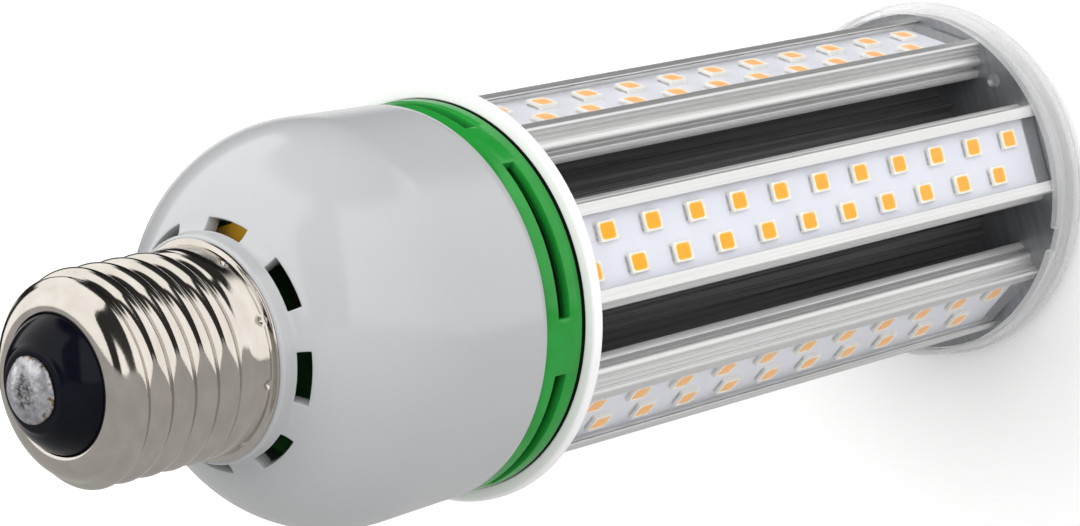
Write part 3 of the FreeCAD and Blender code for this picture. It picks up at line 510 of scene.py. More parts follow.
def along(axis):
    """How far the direction points along an axis, from -1 to 1."""
    return node_on(sky, "VectorMath", {0: direction, 1: axis}, "DOT_PRODUCT").outputs["Value"]


def step(value, edge, low=0.0, high=1.0):
    """Runs smoothly from low to high over an edge."""
    return ranged(sky, value, *edge, low, high, "SMOOTHSTEP")


def product(first, second):
    """Light only where both are lit."""
    return combined(sky, "MULTIPLY", first, second)


def larger(first, second):
    """The brighter of two lights."""
    return combined(sky, "MAXIMUM", first, second)


upward, rightward, nearer = along(picture_up), along(picture_right), along(picture_back)
box_height = product(step(upward, box_foot, 0.0, box_light), step(upward, box_head, 1.0, 0.0))
right_box = product(step(rightward, right_side), step(nearer, right_back))
wider_gap = combined(sky, "ADD", rightward, step(nearer, gap_widens, 0.0, gap_more))
left_box = product(step(wider_gap, left_side, 1.0, 0.0), step(nearer, left_back))
boxes = product(larger(right_box, left_box), box_height)
backdrop = product(step(nearer, backdrop_edge, backdrop_light, 0.0), step(upward, backdrop_foot))
room = larger(step(nearer, black_edge, black_light, gap_light), step(upward, box_foot, dim_light, 0.0))
light = larger(boxes, larger(room, backdrop))
plug(sky, sky.nodes["Background"], {"Strength": light, "Color": (1.0, 0.995, 0.985, 1)})

lamp_data = bpy.data.lights.new("overhead", "SUN")
lamp_data.energy = lamp_light
lamp_data.angle = math.radians(lamp_spread)
lamp = placed("overhead", lamp_data)
lamp.rotation_mode = "QUATERNION"
lamp.rotation_quaternion = lamp_place.to_track_quat("Z", "Y")
lamp.visible_glossy = False
print("two soft boxes of", box_light, "in a room of", dim_light)

# %% [markdown]
# ## Solder tip
#
# The centre contact is a drop of solder that was melted onto the glass. A dome would do for
# its size, but solder freezes in lumps. So the dome's radius and height are multiplied by a
# few slow waves that never push it past the solid's own size.

# %% Solder tip
tip_bulge = 0.7
tip_inset = 0.955
lump_depth = 0.014
flat_depth = 0.09
dimple_depth = 0.16
dimple_place = 0.1
dimple_size = 0.22

tip_height = contact_top - glass_top
rise = np.radians(np.linspace(0, 90, 26))
tip_radius = np.r_[0.0, contact_radius * np.cos(rise[:-1]) ** tip_bulge, 0.0][:, None]
height = np.r_[0.0, tip_height * np.sin(rise)][:, None]
around = angles_round(96)
share = tip_radius / contact_radius
lump = np.cos(3 * around + 0.7) + np.cos(5 * around - 1.1 + height * 2.2)
lump = lump + np.cos(2 * around + 2.0 - height * 1.4)
flat = flat_depth * (1 + np.cos(2 * around + 0.4)) * share
dimple = dimple_depth * np.exp(-((share - dimple_place) / dimple_size) ** 2)
tip_grid = polar(
    tip_radius * (tip_inset + lump_depth * lump), glass_top + height * (1 - flat - dimple), around
)

# %% [markdown]
# Solder is silver with dark pits in its rough middle and brown flux at its edge. The ragged
# distance from the axis, which is the distance plus noise, tells the three apart.

# %% Tin
flux_start, flux_full = 5.4, 5.8
rough_start, rough_full = 3.7, 3.1
raggedness = 3.2

tin, tree, shader = blank("tin")
grain = noise_on(tree, 1.3, detail=7.0)
pits = noise_on(tree, 0.55, detail=3.0)
silver = ramp_on(
    tree, grain, [(0.3, (0.26, 0.26, 0.28)), (0.5, (0.42, 0.42, 0.45)), (0.7, (0.60, 0.60, 0.64))]
)
rough_middle = ramp_on(tree, pits, [(0.38, (0.07, 0.07, 0.075)), (0.62, (0.34, 0.34, 0.35))])
brown_edge = ramp_on(
    tree, pits, [(0.45, (0.50, 0.49, 0.48)), (0.55, (0.20, 0.13, 0.05)), (0.66, (0.04, 0.03, 0.02))]
)
ragged = combined(tree, "MULTIPLY_ADD", grain, raggedness, length_on(tree, (1, 1, 0)))
edge = ranged(tree, ragged, flux_start, flux_full)
middle = ranged(tree, ragged, rough_start, rough_full)
plug(tree, shader, {
    "Base Color": blend_on(tree, middle, blend_on(tree, edge, silver, brown_edge), rough_middle),
    "Roughness": between(tree, grain, 0.5, 0.25),
    "Metallic": 0.85,
})
bump_on(tree, shader, pits, 0.12)
add_piece(mesh_of("solder_tip", tip_grid, closed_rows=False), [tin], "centre_contact")

# %% [markdown]
# ## Glass button
#
# Black glass holds the contact in the middle of the cap. It was pressed while soft, so its
# dome is one even curve, and its edge under the metal is a plain step. An outline turned
# round the axis is enough: an arc from the shell's mouth to the flat under the solder, with
# a low ring near its end.

# %% Glass button
glass_bore = 0.75
curl_drop = 0.3
mouth_radius = 8.56
glass_flat = 4.6
dome_radius = 7.2
step_height = 0.9
ring_radius = 5.1
ring_height = 0.14
ring_width = 0.3
mouth = np.array([mouth_radius, shell_end - curl_drop])
chord = np.array([glass_flat, glass_top - ring_height]) - mouth
half = np.linalg.norm(chord) / 2
normal = np.array([chord[1], -chord[0]]) / (2 * half)
dome_centre = mouth + chord / 2 - normal * math.sqrt(dome_radius**2 - half**2)
start = math.atan2(*(mouth - dome_centre)[::-1])
stop = start + 2 * math.asin(half / dome_radius)
dome = arc_of(dome_centre, dome_radius, np.linspace(start, stop, 30))
dome[:, 1] += ring_height * np.exp(-(((dome[:, 0] - ring_radius) / ring_width) ** 2))
glass_edge = [
    (glass_bore, glass_low),
    (glass_foot_radius, glass_low),
    (glass_foot_radius, glass_low + step_height),
    (mouth_radius, glass_low + 2 * step_height),
]
glass_outline = np.vstack([glass_edge, dome, [(glass_bore, dome[-1, 1])]])
glass_grid = turned(dense(glass_outline, 0.5), angles_round(128))
black_glass = make_finish(
    "black_glass", (0.002, 0.002, 0.005), (0.004, 0.005, 0.009), (0.10, 0.16), size=5.0,
    specular=0.12,
)
add_piece(mesh_of("glass_button", glass_grid), [black_glass], "cap_insulator")

# %% [markdown]
# ## Rolled screw cap
#
# The cap is one thin nickel-plated sheet. Rollers press the thread into it, so ridge and
# groove are the same smooth wave on both sides, and the thread fades out into the skirt
# below and into the cone above. A screw modifier would leave two loose ends there. As a grid,
# the radius at angle a and height z is the plain cap's radius plus a wave:
#
#     phase = (z - start) / pitch - a / (2 pi)
#     radius = plain + depth * fade(z) * ridge(phase)
#
# The standard thread is drawn with arcs of one radius, for the ridge as for the groove.
# Round dents pinch the skirt onto the collar. Columns are closer together at the dents.

# %% Screw cap sizes
thread_pitch = 3.63
root_radius = 12.15
crest_radius = 13.2
crest_at_zero = 154.55
skirt_radius = 13.05
skirt_top = collar_top + 3.7
crown_radius = 9.05
crown_start = shell_end - 2.7
curl_radius = 8.6
sheet = 0.4
dent_angles = (45.5, 6.6, -28.2, -70.4, -110.0, -150.0, 170.0, 128.0, 86.0)
dent_height = 1.15
dent_size = 0.36
dent_depth = 0.4


# %% Screw cap surface
def smooth(low, high, value):
    """Runs from 0 at low to 1 at high, level at both ends: 3 t^2 - 2 t^3."""
    share = np.clip((value - low) / (high - low), 0, 1)
    return share * share * (3 - 2 * share)


def ridge(phase):
    """Height of the thread, from 0 in the groove to 1 on the ridge.

    Ridge and groove are arcs that touch. With pitch p and depth d their radius is
    R = (p^2 / 4 + d^2) / (4 d). At a distance x from the middle of the ridge the height is
    d - R + sqrt(R^2 - x^2), and the groove is the same arc upside down, half a pitch away.
    """
    depth = crest_radius - root_radius
    arc = (thread_pitch**2 / 4 + depth**2) / (4 * depth)
    x = np.abs((phase + 0.5) % 1 - 0.5) * thread_pitch
    from_groove = thread_pitch / 2 - x
    crest = depth - arc + np.sqrt(np.maximum(arc**2 - x**2, 0))
    groove = arc - np.sqrt(np.maximum(arc**2 - from_groove**2, 0))
    return np.where(x < thread_pitch / 4, crest, groove) / depth


plain = np.array([
    (rim_radius - 0.25, collar_top),
    (rim_radius - 0.08, collar_top + 0.08),
    (rim_radius, collar_top + 0.2),
    (rim_radius - 0.15, collar_top + 0.36),
    (skirt_radius + 0.12, collar_top + 0.5),
    (skirt_radius, collar_top + 0.68),
    (skirt_radius, skirt_top - 0.2),
    (root_radius, skirt_top + 0.9),
    (root_radius, crown_start),
])
body_heights = np.r_[
    np.linspace(collar_top, collar_top + 0.7, 13),
    np.linspace(collar_top + 0.76, collar_top + 1.6, 12),
    np.linspace(collar_top + 1.9, skirt_top - 0.3, 5),
    np.linspace(skirt_top, crown_start, 170),
]
knots = np.interp(body_heights, plain[:, 1], plain[:, 0])
eased = np.convolve(np.pad(knots, 2, mode="edge"), np.ones(5) / 5, mode="valid")
body_radius = np.where(body_heights > skirt_top - 0.4, eased, knots)
crown_turn = np.radians(np.linspace(0, 90, 25)[1:])
crown_size = (root_radius - crown_radius, shell_end - crown_start)
crown = arc_of((crown_radius, crown_start), crown_size, crown_turn)
plain_radius, heights = np.vstack([np.stack([body_radius, body_heights], axis=1), crown]).T
spaces = np.linspace(-2.2, 2.2, 9) * dent_size / skirt_radius
near_dents = (from_front(dent_angles)[:, None] + spaces).ravel() % (2 * np.pi)
plain_angles = angles_round(176)
clear_of_dents = np.abs(plain_angles[:, None] - near_dents).min(axis=1) > 0.004
cap_angles = np.sort(np.r_[plain_angles[clear_of_dents], near_dents])

phase = (heights[:, None] - crest_at_zero) / thread_pitch - cap_angles / (2 * np.pi)
wave = ridge(phase)
fade = smooth(skirt_top - 0.1, skirt_top + 1.6, heights)
fade = fade * (1 - smooth(crown_start - 0.6, crown_start + 1.6, heights))
cap_radius = plain_radius[:, None] + (crest_radius - root_radius) * fade[:, None] * wave
turn_gap = (cap_angles[:, None] - from_front(dent_angles) + np.pi) % (2 * np.pi) - np.pi
across = turn_gap * skirt_radius / dent_size
along_axis = (heights - collar_top - dent_height) / dent_size
pinch = np.exp(-(along_axis[:, None, None] ** 2) - across[None] ** 2).sum(axis=-1)
cap_radius = cap_radius - dent_depth * pinch
waver = 0.05 * np.cos(5 * cap_angles + 0.6) + 0.04 * np.cos(9 * cap_angles)
rim_only = 1 - smooth(collar_top + 0.2, collar_top + 0.7, heights)
cap_radius = cap_radius + (waver - 0.09) * rim_only[:, None]
inside = np.array([
    (crown_radius - 0.25, shell_end - 0.04),
    (curl_radius + 0.05, shell_end - 0.13),
    (curl_radius, shell_end - curl_drop),
    (curl_radius, shell_end - curl_drop - sheet),
    (crown_radius + 0.8, shell_end - 0.9),
    (root_radius - sheet - 0.3, crown_start + 0.6),
    (root_radius - sheet, crown_start - 0.6),
    (root_radius - sheet, skirt_top + 1.0),
    (skirt_radius - sheet, skirt_top - 0.3),
    (skirt_radius - sheet, collar_top + 0.1),
    (skirt_radius - sheet + 0.2, collar_top),
])
outer_grid = polar(cap_radius, heights[:, None], cap_angles)
cap_grid = np.concatenate([outer_grid, turned(inside, cap_angles)])
print("cap reaches", round(cap_radius.max(), 2), "of", round(rim_radius, 2), "mm")

# %% Nickel
nickel = make_finish(
    "nickel", (0.55, 0.51, 0.46), (0.63, 0.59, 0.54), (0.07, 0.13), size=3.5,
    stretch=(1, 1, 0.35), metal=1.0,
)
tree, shader = inside_of(nickel)
bump_on(tree, shader, noise_on(tree, 0.35, detail=2.0), 0.004)
add_piece(mesh_of("rolled_cap", cap_grid), [nickel], "screw_shell")

# %% [markdown]
# ## Bowl with vent windows
#
# The driver's housing is one glossy moulding: a nearly straight barrel, a round nose, and a
# collar that blends into it. Eight windows round the collar let warm air out. The outside is
# one grid. The quads of the windows are left out, and a Solidify modifier gives the wall its
# thickness, which also closes the cut edges. That is why column lines fall on the windows'
# sides: a window is a whole number of columns wide.

# %% Bowl
wall = 1.9
foot_radius = 25.8
nose_start = 130.96
nose_radius = 18.8
nose_centre = bowl_radius - nose_radius
shoulder = collar_top - 2.84
collar_radius = 14.3
neck_radius = 12.5
window_count = 8
window_angle = 25.0
window_turn = 19.6
window_reach = 0.55
window_rise = 0.75
columns_per_window = 20
lip = 0.5

column_angle = window_angle / columns_per_window
bowl_degrees = window_turn - window_angle / 2 + np.arange(round(360 / column_angle)) * column_angle
bowl_angles = from_front(bowl_degrees)
nose_stop = math.asin((shoulder - 0.5 - nose_start) / nose_radius)
bend = np.linspace(0, nose_stop, 44)
nose = arc_of((nose_centre, nose_start), nose_radius, bend)
barrel_height = np.linspace(bowl_foot, nose_start, 13)[:-1]
barrel_radius = np.interp(barrel_height, (bowl_foot, nose_start), (foot_radius, bowl_radius))
barrel = np.stack([barrel_radius, barrel_height], axis=1)
share = np.linspace(0, 1, 9)[1:, None]
pull = np.array([(collar_radius + 0.15, shoulder + 0.25), (collar_radius, shoulder + 1.1)])
fillet = (1 - share) ** 2 * nose[-1] + 2 * share * (1 - share) * pull[0] + share**2 * pull[1]
edge = np.radians(np.linspace(0, 90, 7))
collar_edge = arc_of((collar_radius - lip, collar_top - lip), lip, edge)
inner = np.array([
    (neck_radius + 0.3, collar_top),
    (neck_radius, collar_top + 0.3),
    (neck_radius, collar_top + 1.5),
    (neck_radius, neck_top),
])
bowl_outline = np.vstack([barrel, nose, fillet, collar_edge, inner])
bowl_grid = turned(bowl_outline, bowl_angles)

row_radius, row_height = ((bowl_outline[:-1] + bowl_outline[1:]) / 2).T
nose_edge = nose_centre + math.sqrt(nose_radius**2 - (shoulder - nose_start) ** 2)
open_row = (row_radius < nose_edge + window_reach) & (row_height < shoulder + window_rise)
columns_apart = round(len(bowl_angles) / window_count)
open_column = np.arange(len(bowl_angles)) % columns_apart < columns_per_window
bowl_keep = ~(open_row[:, None] & open_column[None, :])
bowl_mesh = mesh_of("vented_bowl", bowl_grid, closed_rows=False, keep=bowl_keep, sharp=40)

# %% [markdown]
# The bowl's plastic is glossy, with a faint waviness that shows where lamps mirror in it.

# %% Bowl finish
bowl_grey = make_finish(
    "bowl_grey", (0.42, 0.43, 0.44), (0.45, 0.46, 0.47), (0.13, 0.18), size=30.0,
    stretch=(1, 1, 1.6), detail=2.0, depth=0.05, specular=0.6,
)
bowl = add_piece(bowl_mesh, [bowl_grey], "bowl_housing")


def give_wall(piece, thickness, bevel):
    """Thickens a sheet inwards, then rounds its cut edges a little."""
    solid = piece.modifiers.new("wall", "SOLIDIFY")
    solid.thickness = thickness * MM
    solid.offset = -1.0
    solid.use_even_offset = True
    soft = piece.modifiers.new("soft_edges", "BEVEL")
    soft.width = bevel * MM
    soft.segments = 2
    soft.limit_method = "ANGLE"
    soft.angle_limit = math.radians(50)


give_wall(bowl, wall, 0.12)

# %% [markdown]
# ## Slotted green ring
#
# The ring between bowl and flange is moulded in green and has long slots. Its band by the
# bowl slopes a little, so it catches more light than the rest. It is made as the bowl was: a
# sheet with the slots left out of the grid, and then a wall.

# %% Green ring
ring_wall = 2.6
seam = 0.4
slot_width = 2.1
slot_drop = 2.3
slot_angle = 48.0
slot_pitch = 64.5
slot_count = 5
slot_turn = -121.2
band_slope = 0.28
foot_inset = 1.3

slot_top = bowl_foot - slot_drop
slot_low = slot_top - slot_width
slot_middle = slot_turn + slot_pitch * np.arange(slot_count)
slot_ends = np.r_[slot_middle - slot_angle / 2, slot_middle + slot_angle / 2]
ring_degrees = columns_with((slot_ends + 180) % 360 - 180, 1.5)
ring_levels = np.array([
    (vent_radius - foot_inset, flange_top),
    (vent_radius - foot_inset, flange_top + seam),
    (vent_radius - 0.15, flange_top + seam),
    (vent_radius, flange_top + seam + 0.15),
    (vent_radius, slot_low),
    (vent_radius, slot_low + slot_width / 2),
    (vent_radius, slot_top),
    (vent_radius - 0.02, slot_top + 0.15),
    (vent_radius - band_slope / 2, (slot_top + bowl_foot) / 2),
    (vent_radius - band_slope, bowl_foot),
])
ring_grid = turned(ring_levels, from_front(ring_degrees))
ring_row = (ring_levels[:-1, 1] + ring_levels[1:, 1]) / 2
in_row = (ring_row > slot_low) & (ring_row < slot_top)
next_degree = np.r_[ring_degrees[1:], ring_degrees[0] + 360]
ring_middle = (ring_degrees + next_degree) / 2
in_column = (apart(ring_middle, slot_middle) < slot_angle / 2).any(axis=1)
ring_keep = ~(in_row[:, None] & in_column[None, :])
ring_mesh = mesh_of("slotted_ring", ring_grid, closed_rows=False, keep=ring_keep, sharp=30)

green = make_finish(
    "green", (0.011, 0.22, 0.026), (0.020, 0.30, 0.044), (0.10, 0.18), size=9.0,
    detail=3.0, depth=0.03, specular=0.25, coat=0.1,
)
ring = add_piece(ring_mesh, [green], "vent_ring")
give_wall(ring, ring_wall - foot_inset, 0.1)

# %% [markdown]
# ## White flange
#
# The widest ring is a thin white disc with a soft edge. Its spigot and the two posts for
# the driver board hide inside the housing. The spigot belongs to the same moulding, so it is
# made with it; the posts are not made here. A narrow gap runs round the foot of the green ring.
# No light gets down there, so its finish carries a painted shade: it is dark where both the
# distance from the axis and the height say that a point is in the gap.

# %% White flange
spigot_radius = 23.0
spigot_height = 2.2
spigot_wall = 1.5
flange_bore = 8.0
gap_outside = vent_radius - 0.05
gap_inside = vent_radius - foot_inset + 0.1
gap_floor = flange_top - 0.8
flange_corners = [
    (flange_bore, flange_low),
    (flange_radius, flange_low),
    (flange_radius, flange_top),
    (gap_outside, flange_top),
    (gap_outside, gap_floor),
    (gap_inside, gap_floor),
    (gap_inside, flange_top),
    (spigot_radius, flange_top),
    (spigot_radius, flange_top + spigot_height),
    (spigot_radius - spigot_wall, flange_top + spigot_height),
    (spigot_radius - spigot_wall, flange_top),
    (flange_bore, flange_top),
]
flange_outline = rounded(flange_corners, [0.2, 0.45, 0.55, 0.3] + [0.1] * 3 + [0.2] * 5)
flange_grid = turned(dense(flange_outline, 0.8), angles_round(180))
flange_mesh = mesh_of("white_flange", flange_grid, sharp=50)
white = make_finish(
    "white", (0.875, 0.855, 0.87), (0.915, 0.895, 0.91), (0.30, 0.42), size=12.0, depth=0.02
)
tree, shader = inside_of(white)
# painted shade: the floor of the gap under the green ring is coloured near black, as if no light reached
# it
near_axis = ranged(tree, length_on(tree, (1, 1, 0)), gap_outside + 0.06, gap_outside - 0.04)
gap_painted_shade = combined(tree, "MULTIPLY", near_axis, above(tree, gap_floor - 0.2, 0.1))
retone(tree, shader, gap_painted_shade, (0.02, 0.021, 0.02), (0.035, 0.036, 0.035))
add_piece(flange_mesh, [white], "flange_ring")

# %% [markdown]
# ## Clear end cover
#
# The bulb stands on a clear moulded cup. Its rim is thick, and its thin skirt rises round
# the end plate and has three notches. A notch needs no cutting here: in the columns of a
# notch, the skirt's heights are scaled down. Two columns almost in one place make each side
# of a notch upright.

# %% Clear end cover
cover_wall = 0.9
skirt_outside = 26.4
rim_height = 3.2
rim_round = 2.0
disc = 1.4
ledge = 1.0
notch_middle = (-31.0, 89.0, -151.0)
notch_angle = 8.0
notch_depth = 1.1
notch_side = 0.03

bore = skirt_outside - cover_wall
cover_corners = [
    (0.0, 0.0),
    (cover_radius, 0.0),
    (cover_radius, rim_height),
    (skirt_outside, rim_height),
    (skirt_outside, cover_top),
    (bore, cover_top),
    (bore, plate_low),
    (bore - ledge, plate_low),
    (bore - ledge, disc),
    (0.0, disc),
]
cover_outline = rounded(cover_corners, [0, rim_round, 0.35, 0.1, 0.25, 0.25, 0.05, 0.15, 0.3, 0])
cover_outline = dense(cover_outline, 0.9)
first_row = np.argmin(cover_outline.sum(axis=1))
cover_outline = np.roll(cover_outline, -first_row, axis=0)
half_notch = notch_angle / 2
sides = np.array([-half_notch - notch_side, -half_notch, half_notch, half_notch + notch_side])
notch_columns = (np.array(notch_middle)[:, None] + sides).ravel()
cover_degrees = columns_with(notch_columns, 2.0)
cover_grid = turned(cover_outline, from_front(cover_degrees))
off = apart(cover_degrees, notch_middle).min(axis=1)
squeeze = np.where(off <= half_notch + notch_side / 2, 1 - notch_depth / (cover_top - plate_low), 1)
high = np.maximum(cover_grid[..., 2] - plate_low, 0)
cover_grid[..., 2] = np.minimum(cover_grid[..., 2], plate_low) + high * squeeze
cover_mesh = mesh_of("clear_cup", cover_grid, sharp=50)

# %% [markdown]
# Clear plastic hardly changes what is straight behind it. It adds a pale reflection, which
# grows where it is seen at a slant. So most of the light goes straight through, and the
# opacity follows a Layer Weight. The same function makes the thin covers of the leds.


# %% Clear plastic
def make_clear(name, dark, light, size, stretch, thin, thick):
    """Its opacity grows from thin, seen straight on, to thick, seen at a slant."""
    material = make_finish(name, dark, light, (0.06, 0.1), size, stretch)
    tree, shader = inside_of(material)
    slant = node_on(tree, "LayerWeight", {"Blend": 0.5}).outputs["Facing"]
    plug(tree, shader, {"Alpha": ranged(tree, slant, 0.3, 0.95, thin, thick)})
    return material


clear_rim = make_clear(
    "clear_rim", (0.90, 0.91, 0.92), (0.95, 0.955, 0.96), 8.0, (1, 1, 1), thin=0.10, thick=0.62
)
add_piece(cover_mesh, [clear_rim], "end_cover")

# %% [markdown]
# ## Leds
#
# A led is a small white box. Its top has a round-cornered window filled with yellow phosphor,
# and metal feet show at its two short ends. One led is a stack of rounded rectangles of one
# point count, so the stack is a small grid of its own. It is then repeated by adding the
# places of all leds to it in one step.

# %% One led
led_length = 3.5
led_width = 2.8
window_long = 2.75
window_wide = 2.15
led_height = led_front - board_front


def ring_of(length, width, radius, steps=3):
    """A rounded rectangle about the origin, anticlockwise, as (across, along) points."""
    return rounded(rectangle(width / 2, -length / 2, length / 2), [radius] * 4, steps)


levels = [
    (ring_of(led_length - 0.1, led_width - 0.05, 0.12), 0.0),
    (ring_of(led_length, led_width, 0.12), 0.12),
    (ring_of(led_length - 0.06, led_width - 0.06, 0.14), led_height - 0.06),
    (ring_of(led_length - 0.18, led_width - 0.18, 0.14), led_height),
    (ring_of(window_long + 0.1, window_wide + 0.1, 0.55), led_height),
    (ring_of(window_long, window_wide, 0.5), led_height - 0.09),
    (ring_of(window_long * 0.8, window_wide * 0.8, 0.4), led_height - 0.075),
    (ring_of(window_long * 0.1, window_wide * 0.1, 0.04), led_height - 0.06),
]
ring_size = len(levels[0][0])
stack = np.array([
    np.column_stack([outline, np.full(ring_size, height)]) for outline, height in levels
])
stack_quads = quads_of(len(levels), ring_size, False, True).reshape(-1, 4)
stack_rim = np.repeat([1.0] * 6 + [0.45, 0.0], ring_size)
stack_finish = np.repeat([0] * 5 + [1, 1], ring_size)
foot_half, foot_half_deep, foot_high = 1.05, 0.15, 0.26
foot_lift = 0.02
foot_low = rectangle(foot_half, -foot_half_deep, foot_half_deep)
foot_shape = np.vstack([
    np.column_stack([foot_low, np.zeros(4)]),
    np.column_stack([foot_low * (1, 0.5), np.full(4, foot_high)]),
])
foot_sides = quads_of(2, 4, False, True).reshape(-1, 4)
foot_quads = np.vstack([[(0, 3, 2, 1), (4, 5, 6, 7)], foot_sides])
print("one led has", len(stack_quads) + 2 + 2 * len(foot_quads), "faces")

# %% [markdown]
# The phosphor is deep orange in its middle and paler at its rim. Every point of the mesh
# carries a number for that, 1 at the rim and 0 in the middle.

# %% Led finishes
led_body = make_finish(
    "led_body", (0.80, 0.77, 0.68), (0.90, 0.88, 0.82), (0.25, 0.4), size=1.5, depth=0.01
)
led_feet = make_finish(
    "led_feet", (0.42, 0.42, 0.42), (0.68, 0.67, 0.65), (0.25, 0.4), size=0.6, depth=0.01, metal=0.9
)
phosphor, tree, shader = blank("phosphor")
rim_value = node_on(tree, "Attribute")
rim_value.attribute_name = "rim"
gel = noise_on(tree, 0.5)
plug(tree, shader, {
    "Base Color": ramp_on(tree, rim_value.outputs["Fac"], [
        (0.0, (1.0, 0.40, 0.003)),
        (0.6, (1.0, 0.42, 0.006)),
        (0.88, (1.0, 0.55, 0.05)),
        (1.0, (0.95, 0.76, 0.3)),
    ]),
    "Roughness": between(tree, gel, 0.25, 0.35),
    "Specular IOR Level": 0.1,
})
bump_on(tree, shader, gel, 0.01)

# %% [markdown]
# The places come from the solids: the lowest and highest led of a board fix both rows. A
# board's own leds are made facing the front, then turned to their side of the bulb.


# %% Led rows
def led_mesh(name, places, turn_degrees, down=False):
    """All leds of one board. Places are (across, height) pairs on the board's face."""
    count = len(places)
    ends = [foot_shape + (0, side * led_length / 2, foot_lift) for side in (-1, 1)]
    shape = np.concatenate([stack.reshape(-1, 3), *ends])
    across, height, out = np.concatenate([shape + (*place, 0) for place in places]).T
    shift = (np.arange(count) * len(shape))[:, None, None]
    foot_start = len(levels) * ring_size
    both = np.concatenate([foot_quads + foot_start, foot_quads + foot_start + len(foot_shape)])
    low_ring = np.arange(ring_size)[::-1]
    high_ring = np.arange(ring_size) + (len(levels) - 1) * ring_size
    sides = (stack_quads + shift).reshape(-1, 4).tolist()
    metal = (both + shift).reshape(-1, 4).tolist()
    caps = (np.stack([low_ring, high_ring]) + shift).reshape(-1, ring_size).tolist()
    if down:
        points = np.stack([across, height, end_low - out], axis=1)
    else:
        points = np.stack([*swung(across, -(board_front + out), turn_degrees), height], axis=1)
    mesh = listed_mesh(name, points, sides + metal + caps, sharp=30)
    finish_numbers = np.r_[np.tile(stack_finish, count), np.full(len(metal), 2), np.tile([0, 1], count)]
    mesh.polygons.foreach_set("material_index", finish_numbers.astype(np.int32))
    rims = np.tile(np.r_[stack_rim, np.ones(2 * len(foot_shape))], count).astype(np.float32)
    mesh.attributes.new("rim", "FLOAT", "POINT").data.foreach_set("value", rims)
    return mesh


leds_per_row = 11
led_pitch = 8.83
row_half = 2.4
low, high = span("led_group_1")
first_low = low[2] + led_length / 2
first_high = high[2] - led_length / 2 - led_pitch * (leds_per_row - 1)
row = np.arange(leds_per_row) * led_pitch
places = [(row_half, first_low + rise) for rise in row]
places += [(-row_half, first_high + rise) for rise in row]
for number in range(1, 7):
    mesh = led_mesh(f"led_rows_{number}", places, 60 * (number - 1))
    add_piece(mesh, [led_body, phosphor, led_feet], f"led_group_{number}")

# %% [markdown]
# The end board carries six more leds that shine down through the clear cover.

# %% End leds
(_, _, end_low), (_, _, end_high) = span("end_board")
end_circle = 16.2
end_places = arc_of((0, 0), end_circle, np.radians(30 + 60 * np.arange(6)))
end_mesh = led_mesh("end_leds", end_places, 0, down=True)
end_mesh.flip_normals()
add_piece(end_mesh, [led_body, phosphor, led_feet], "end_led_group")

# %% [markdown]
# ## Finishes of the solids that keep their shape
#
# The core, the boards, the end plate and the inner parts are extrusions, plates and blocks,
# so their solids only need finishes. Metal with fine lines has a row that ends with a stretch
# of the noise, along Z for the extrusions.

# %% Aluminium, boards and inner parts
lengthwise = (1, 1, 120)
by_slot = {}
for name, dark, light, rough, size, depth, metal, *stretch in (
    ("satin_aluminium", (0.68,) * 3, (0.84,) * 3, (0.34, 0.46), 0.45, 0.004, 0.75, lengthwise),
    ("dark_core", (0.11, 0.11, 0.113), (0.24, 0.24, 0.245), (0.25, 0.38), 0.5, 0.01, 0.5, lengthwise),
    ("plate_aluminium", (0.30, 0.31, 0.33), (0.38, 0.39, 0.41), (0.32, 0.42), 0.8, 0.003, 0.8, (40, 1, 1)),
    ("board_white", (0.70, 0.715, 0.80), (0.74, 0.755, 0.83), (0.28, 0.36), 6.0, 0.006, 0.0),
    ("screw_steel", (0.42,) * 3, (0.6,) * 3, (0.25, 0.4), 1.0, 0.01, 1.0),
    ("board_green", (0.03, 0.13, 0.03), (0.05, 0.2, 0.05), (0.3, 0.45), 3.0, 0.02, 0.0),
    ("ferrite", (0.03,) * 3, (0.06,) * 3, (0.6, 0.8), 0.8, 0.03, 0.0),
    ("amber_tape", (0.62, 0.30, 0.02), (0.78, 0.42, 0.04), (0.25, 0.4), 4.0, 0.03, 0.0),
    ("amber_case", (0.60, 0.30, 0.02), (0.74, 0.40, 0.03), (0.25, 0.35), 5.0, 0.02, 0.0),
    ("can_sleeve", (0.02,) * 3, (0.04,) * 3, (0.25, 0.35), 3.0, 0.01, 0.0),
    ("copper_wire", (0.40, 0.16, 0.06), (0.62, 0.28, 0.12), (0.25, 0.4), 0.5, 0.05, 1.0, (20, 1, 20)),
    ("black_epoxy", (0.02,) * 3, (0.035,) * 3, (0.5, 0.65), 0.6, 0.01, 0.0),
    ("wire_white", (0.76, 0.76, 0.74), (0.84, 0.84, 0.82), (0.4, 0.5), 3.0, 0.01, 0.0),
    ("wire_red", (0.42, 0.02, 0.015), (0.5, 0.03, 0.02), (0.4, 0.5), 3.0, 0.01, 0.0),
    ("wire_black", (0.015,) * 3, (0.03,) * 3, (0.4, 0.5), 3.0, 0.01, 0.0),
):
    by_slot[name] = make_finish(name, dark, light, rough, size, *stretch, depth=depth, metal=metal)
print("plain finishes:", len(by_slot))

# %% [markdown]
# The end board is an aluminium board with white mask on its led side only. Its bare back
# shows through the hole of the end plate, and is coloured near black there as a painted
# shade for the dark hole. The height on the board tells both sides apart.

# %% End board
end_board_finish = make_finish(
    "end_board", (0.70, 0.715, 0.80), (0.74, 0.755, 0.83), (0.3, 0.4), size=6.0, depth=0.006
)
tree, shader = inside_of(end_board_finish)
# painted shade: the bare back is coloured near black, so the plate's hole looks dark
bare_back_painted_shade = above(tree, end_high - 0.15, 0.05)
retone(tree, shader, bare_back_painted_shade, (0.05, 0.05, 0.052), (0.08, 0.08, 0.084))
print("end board from", round(end_low, 2), "to", round(end_high, 2), "mm")

# %% [markdown]
# ## Strips and their clear covers
#
# A strip is one extrusion, pressed through a die, so all its edges are slightly round. Those
# small rounds catch the light as thin lines. The right half of the section is drawn once
# and mirrored, its corners are rounded, and the section is carried along Z. Ridge and flutes
# are cooling fins. The clear cover slides in under the two lips, close above the leds. Seen
# in the photograph, the strips are a little shallower than their solids.

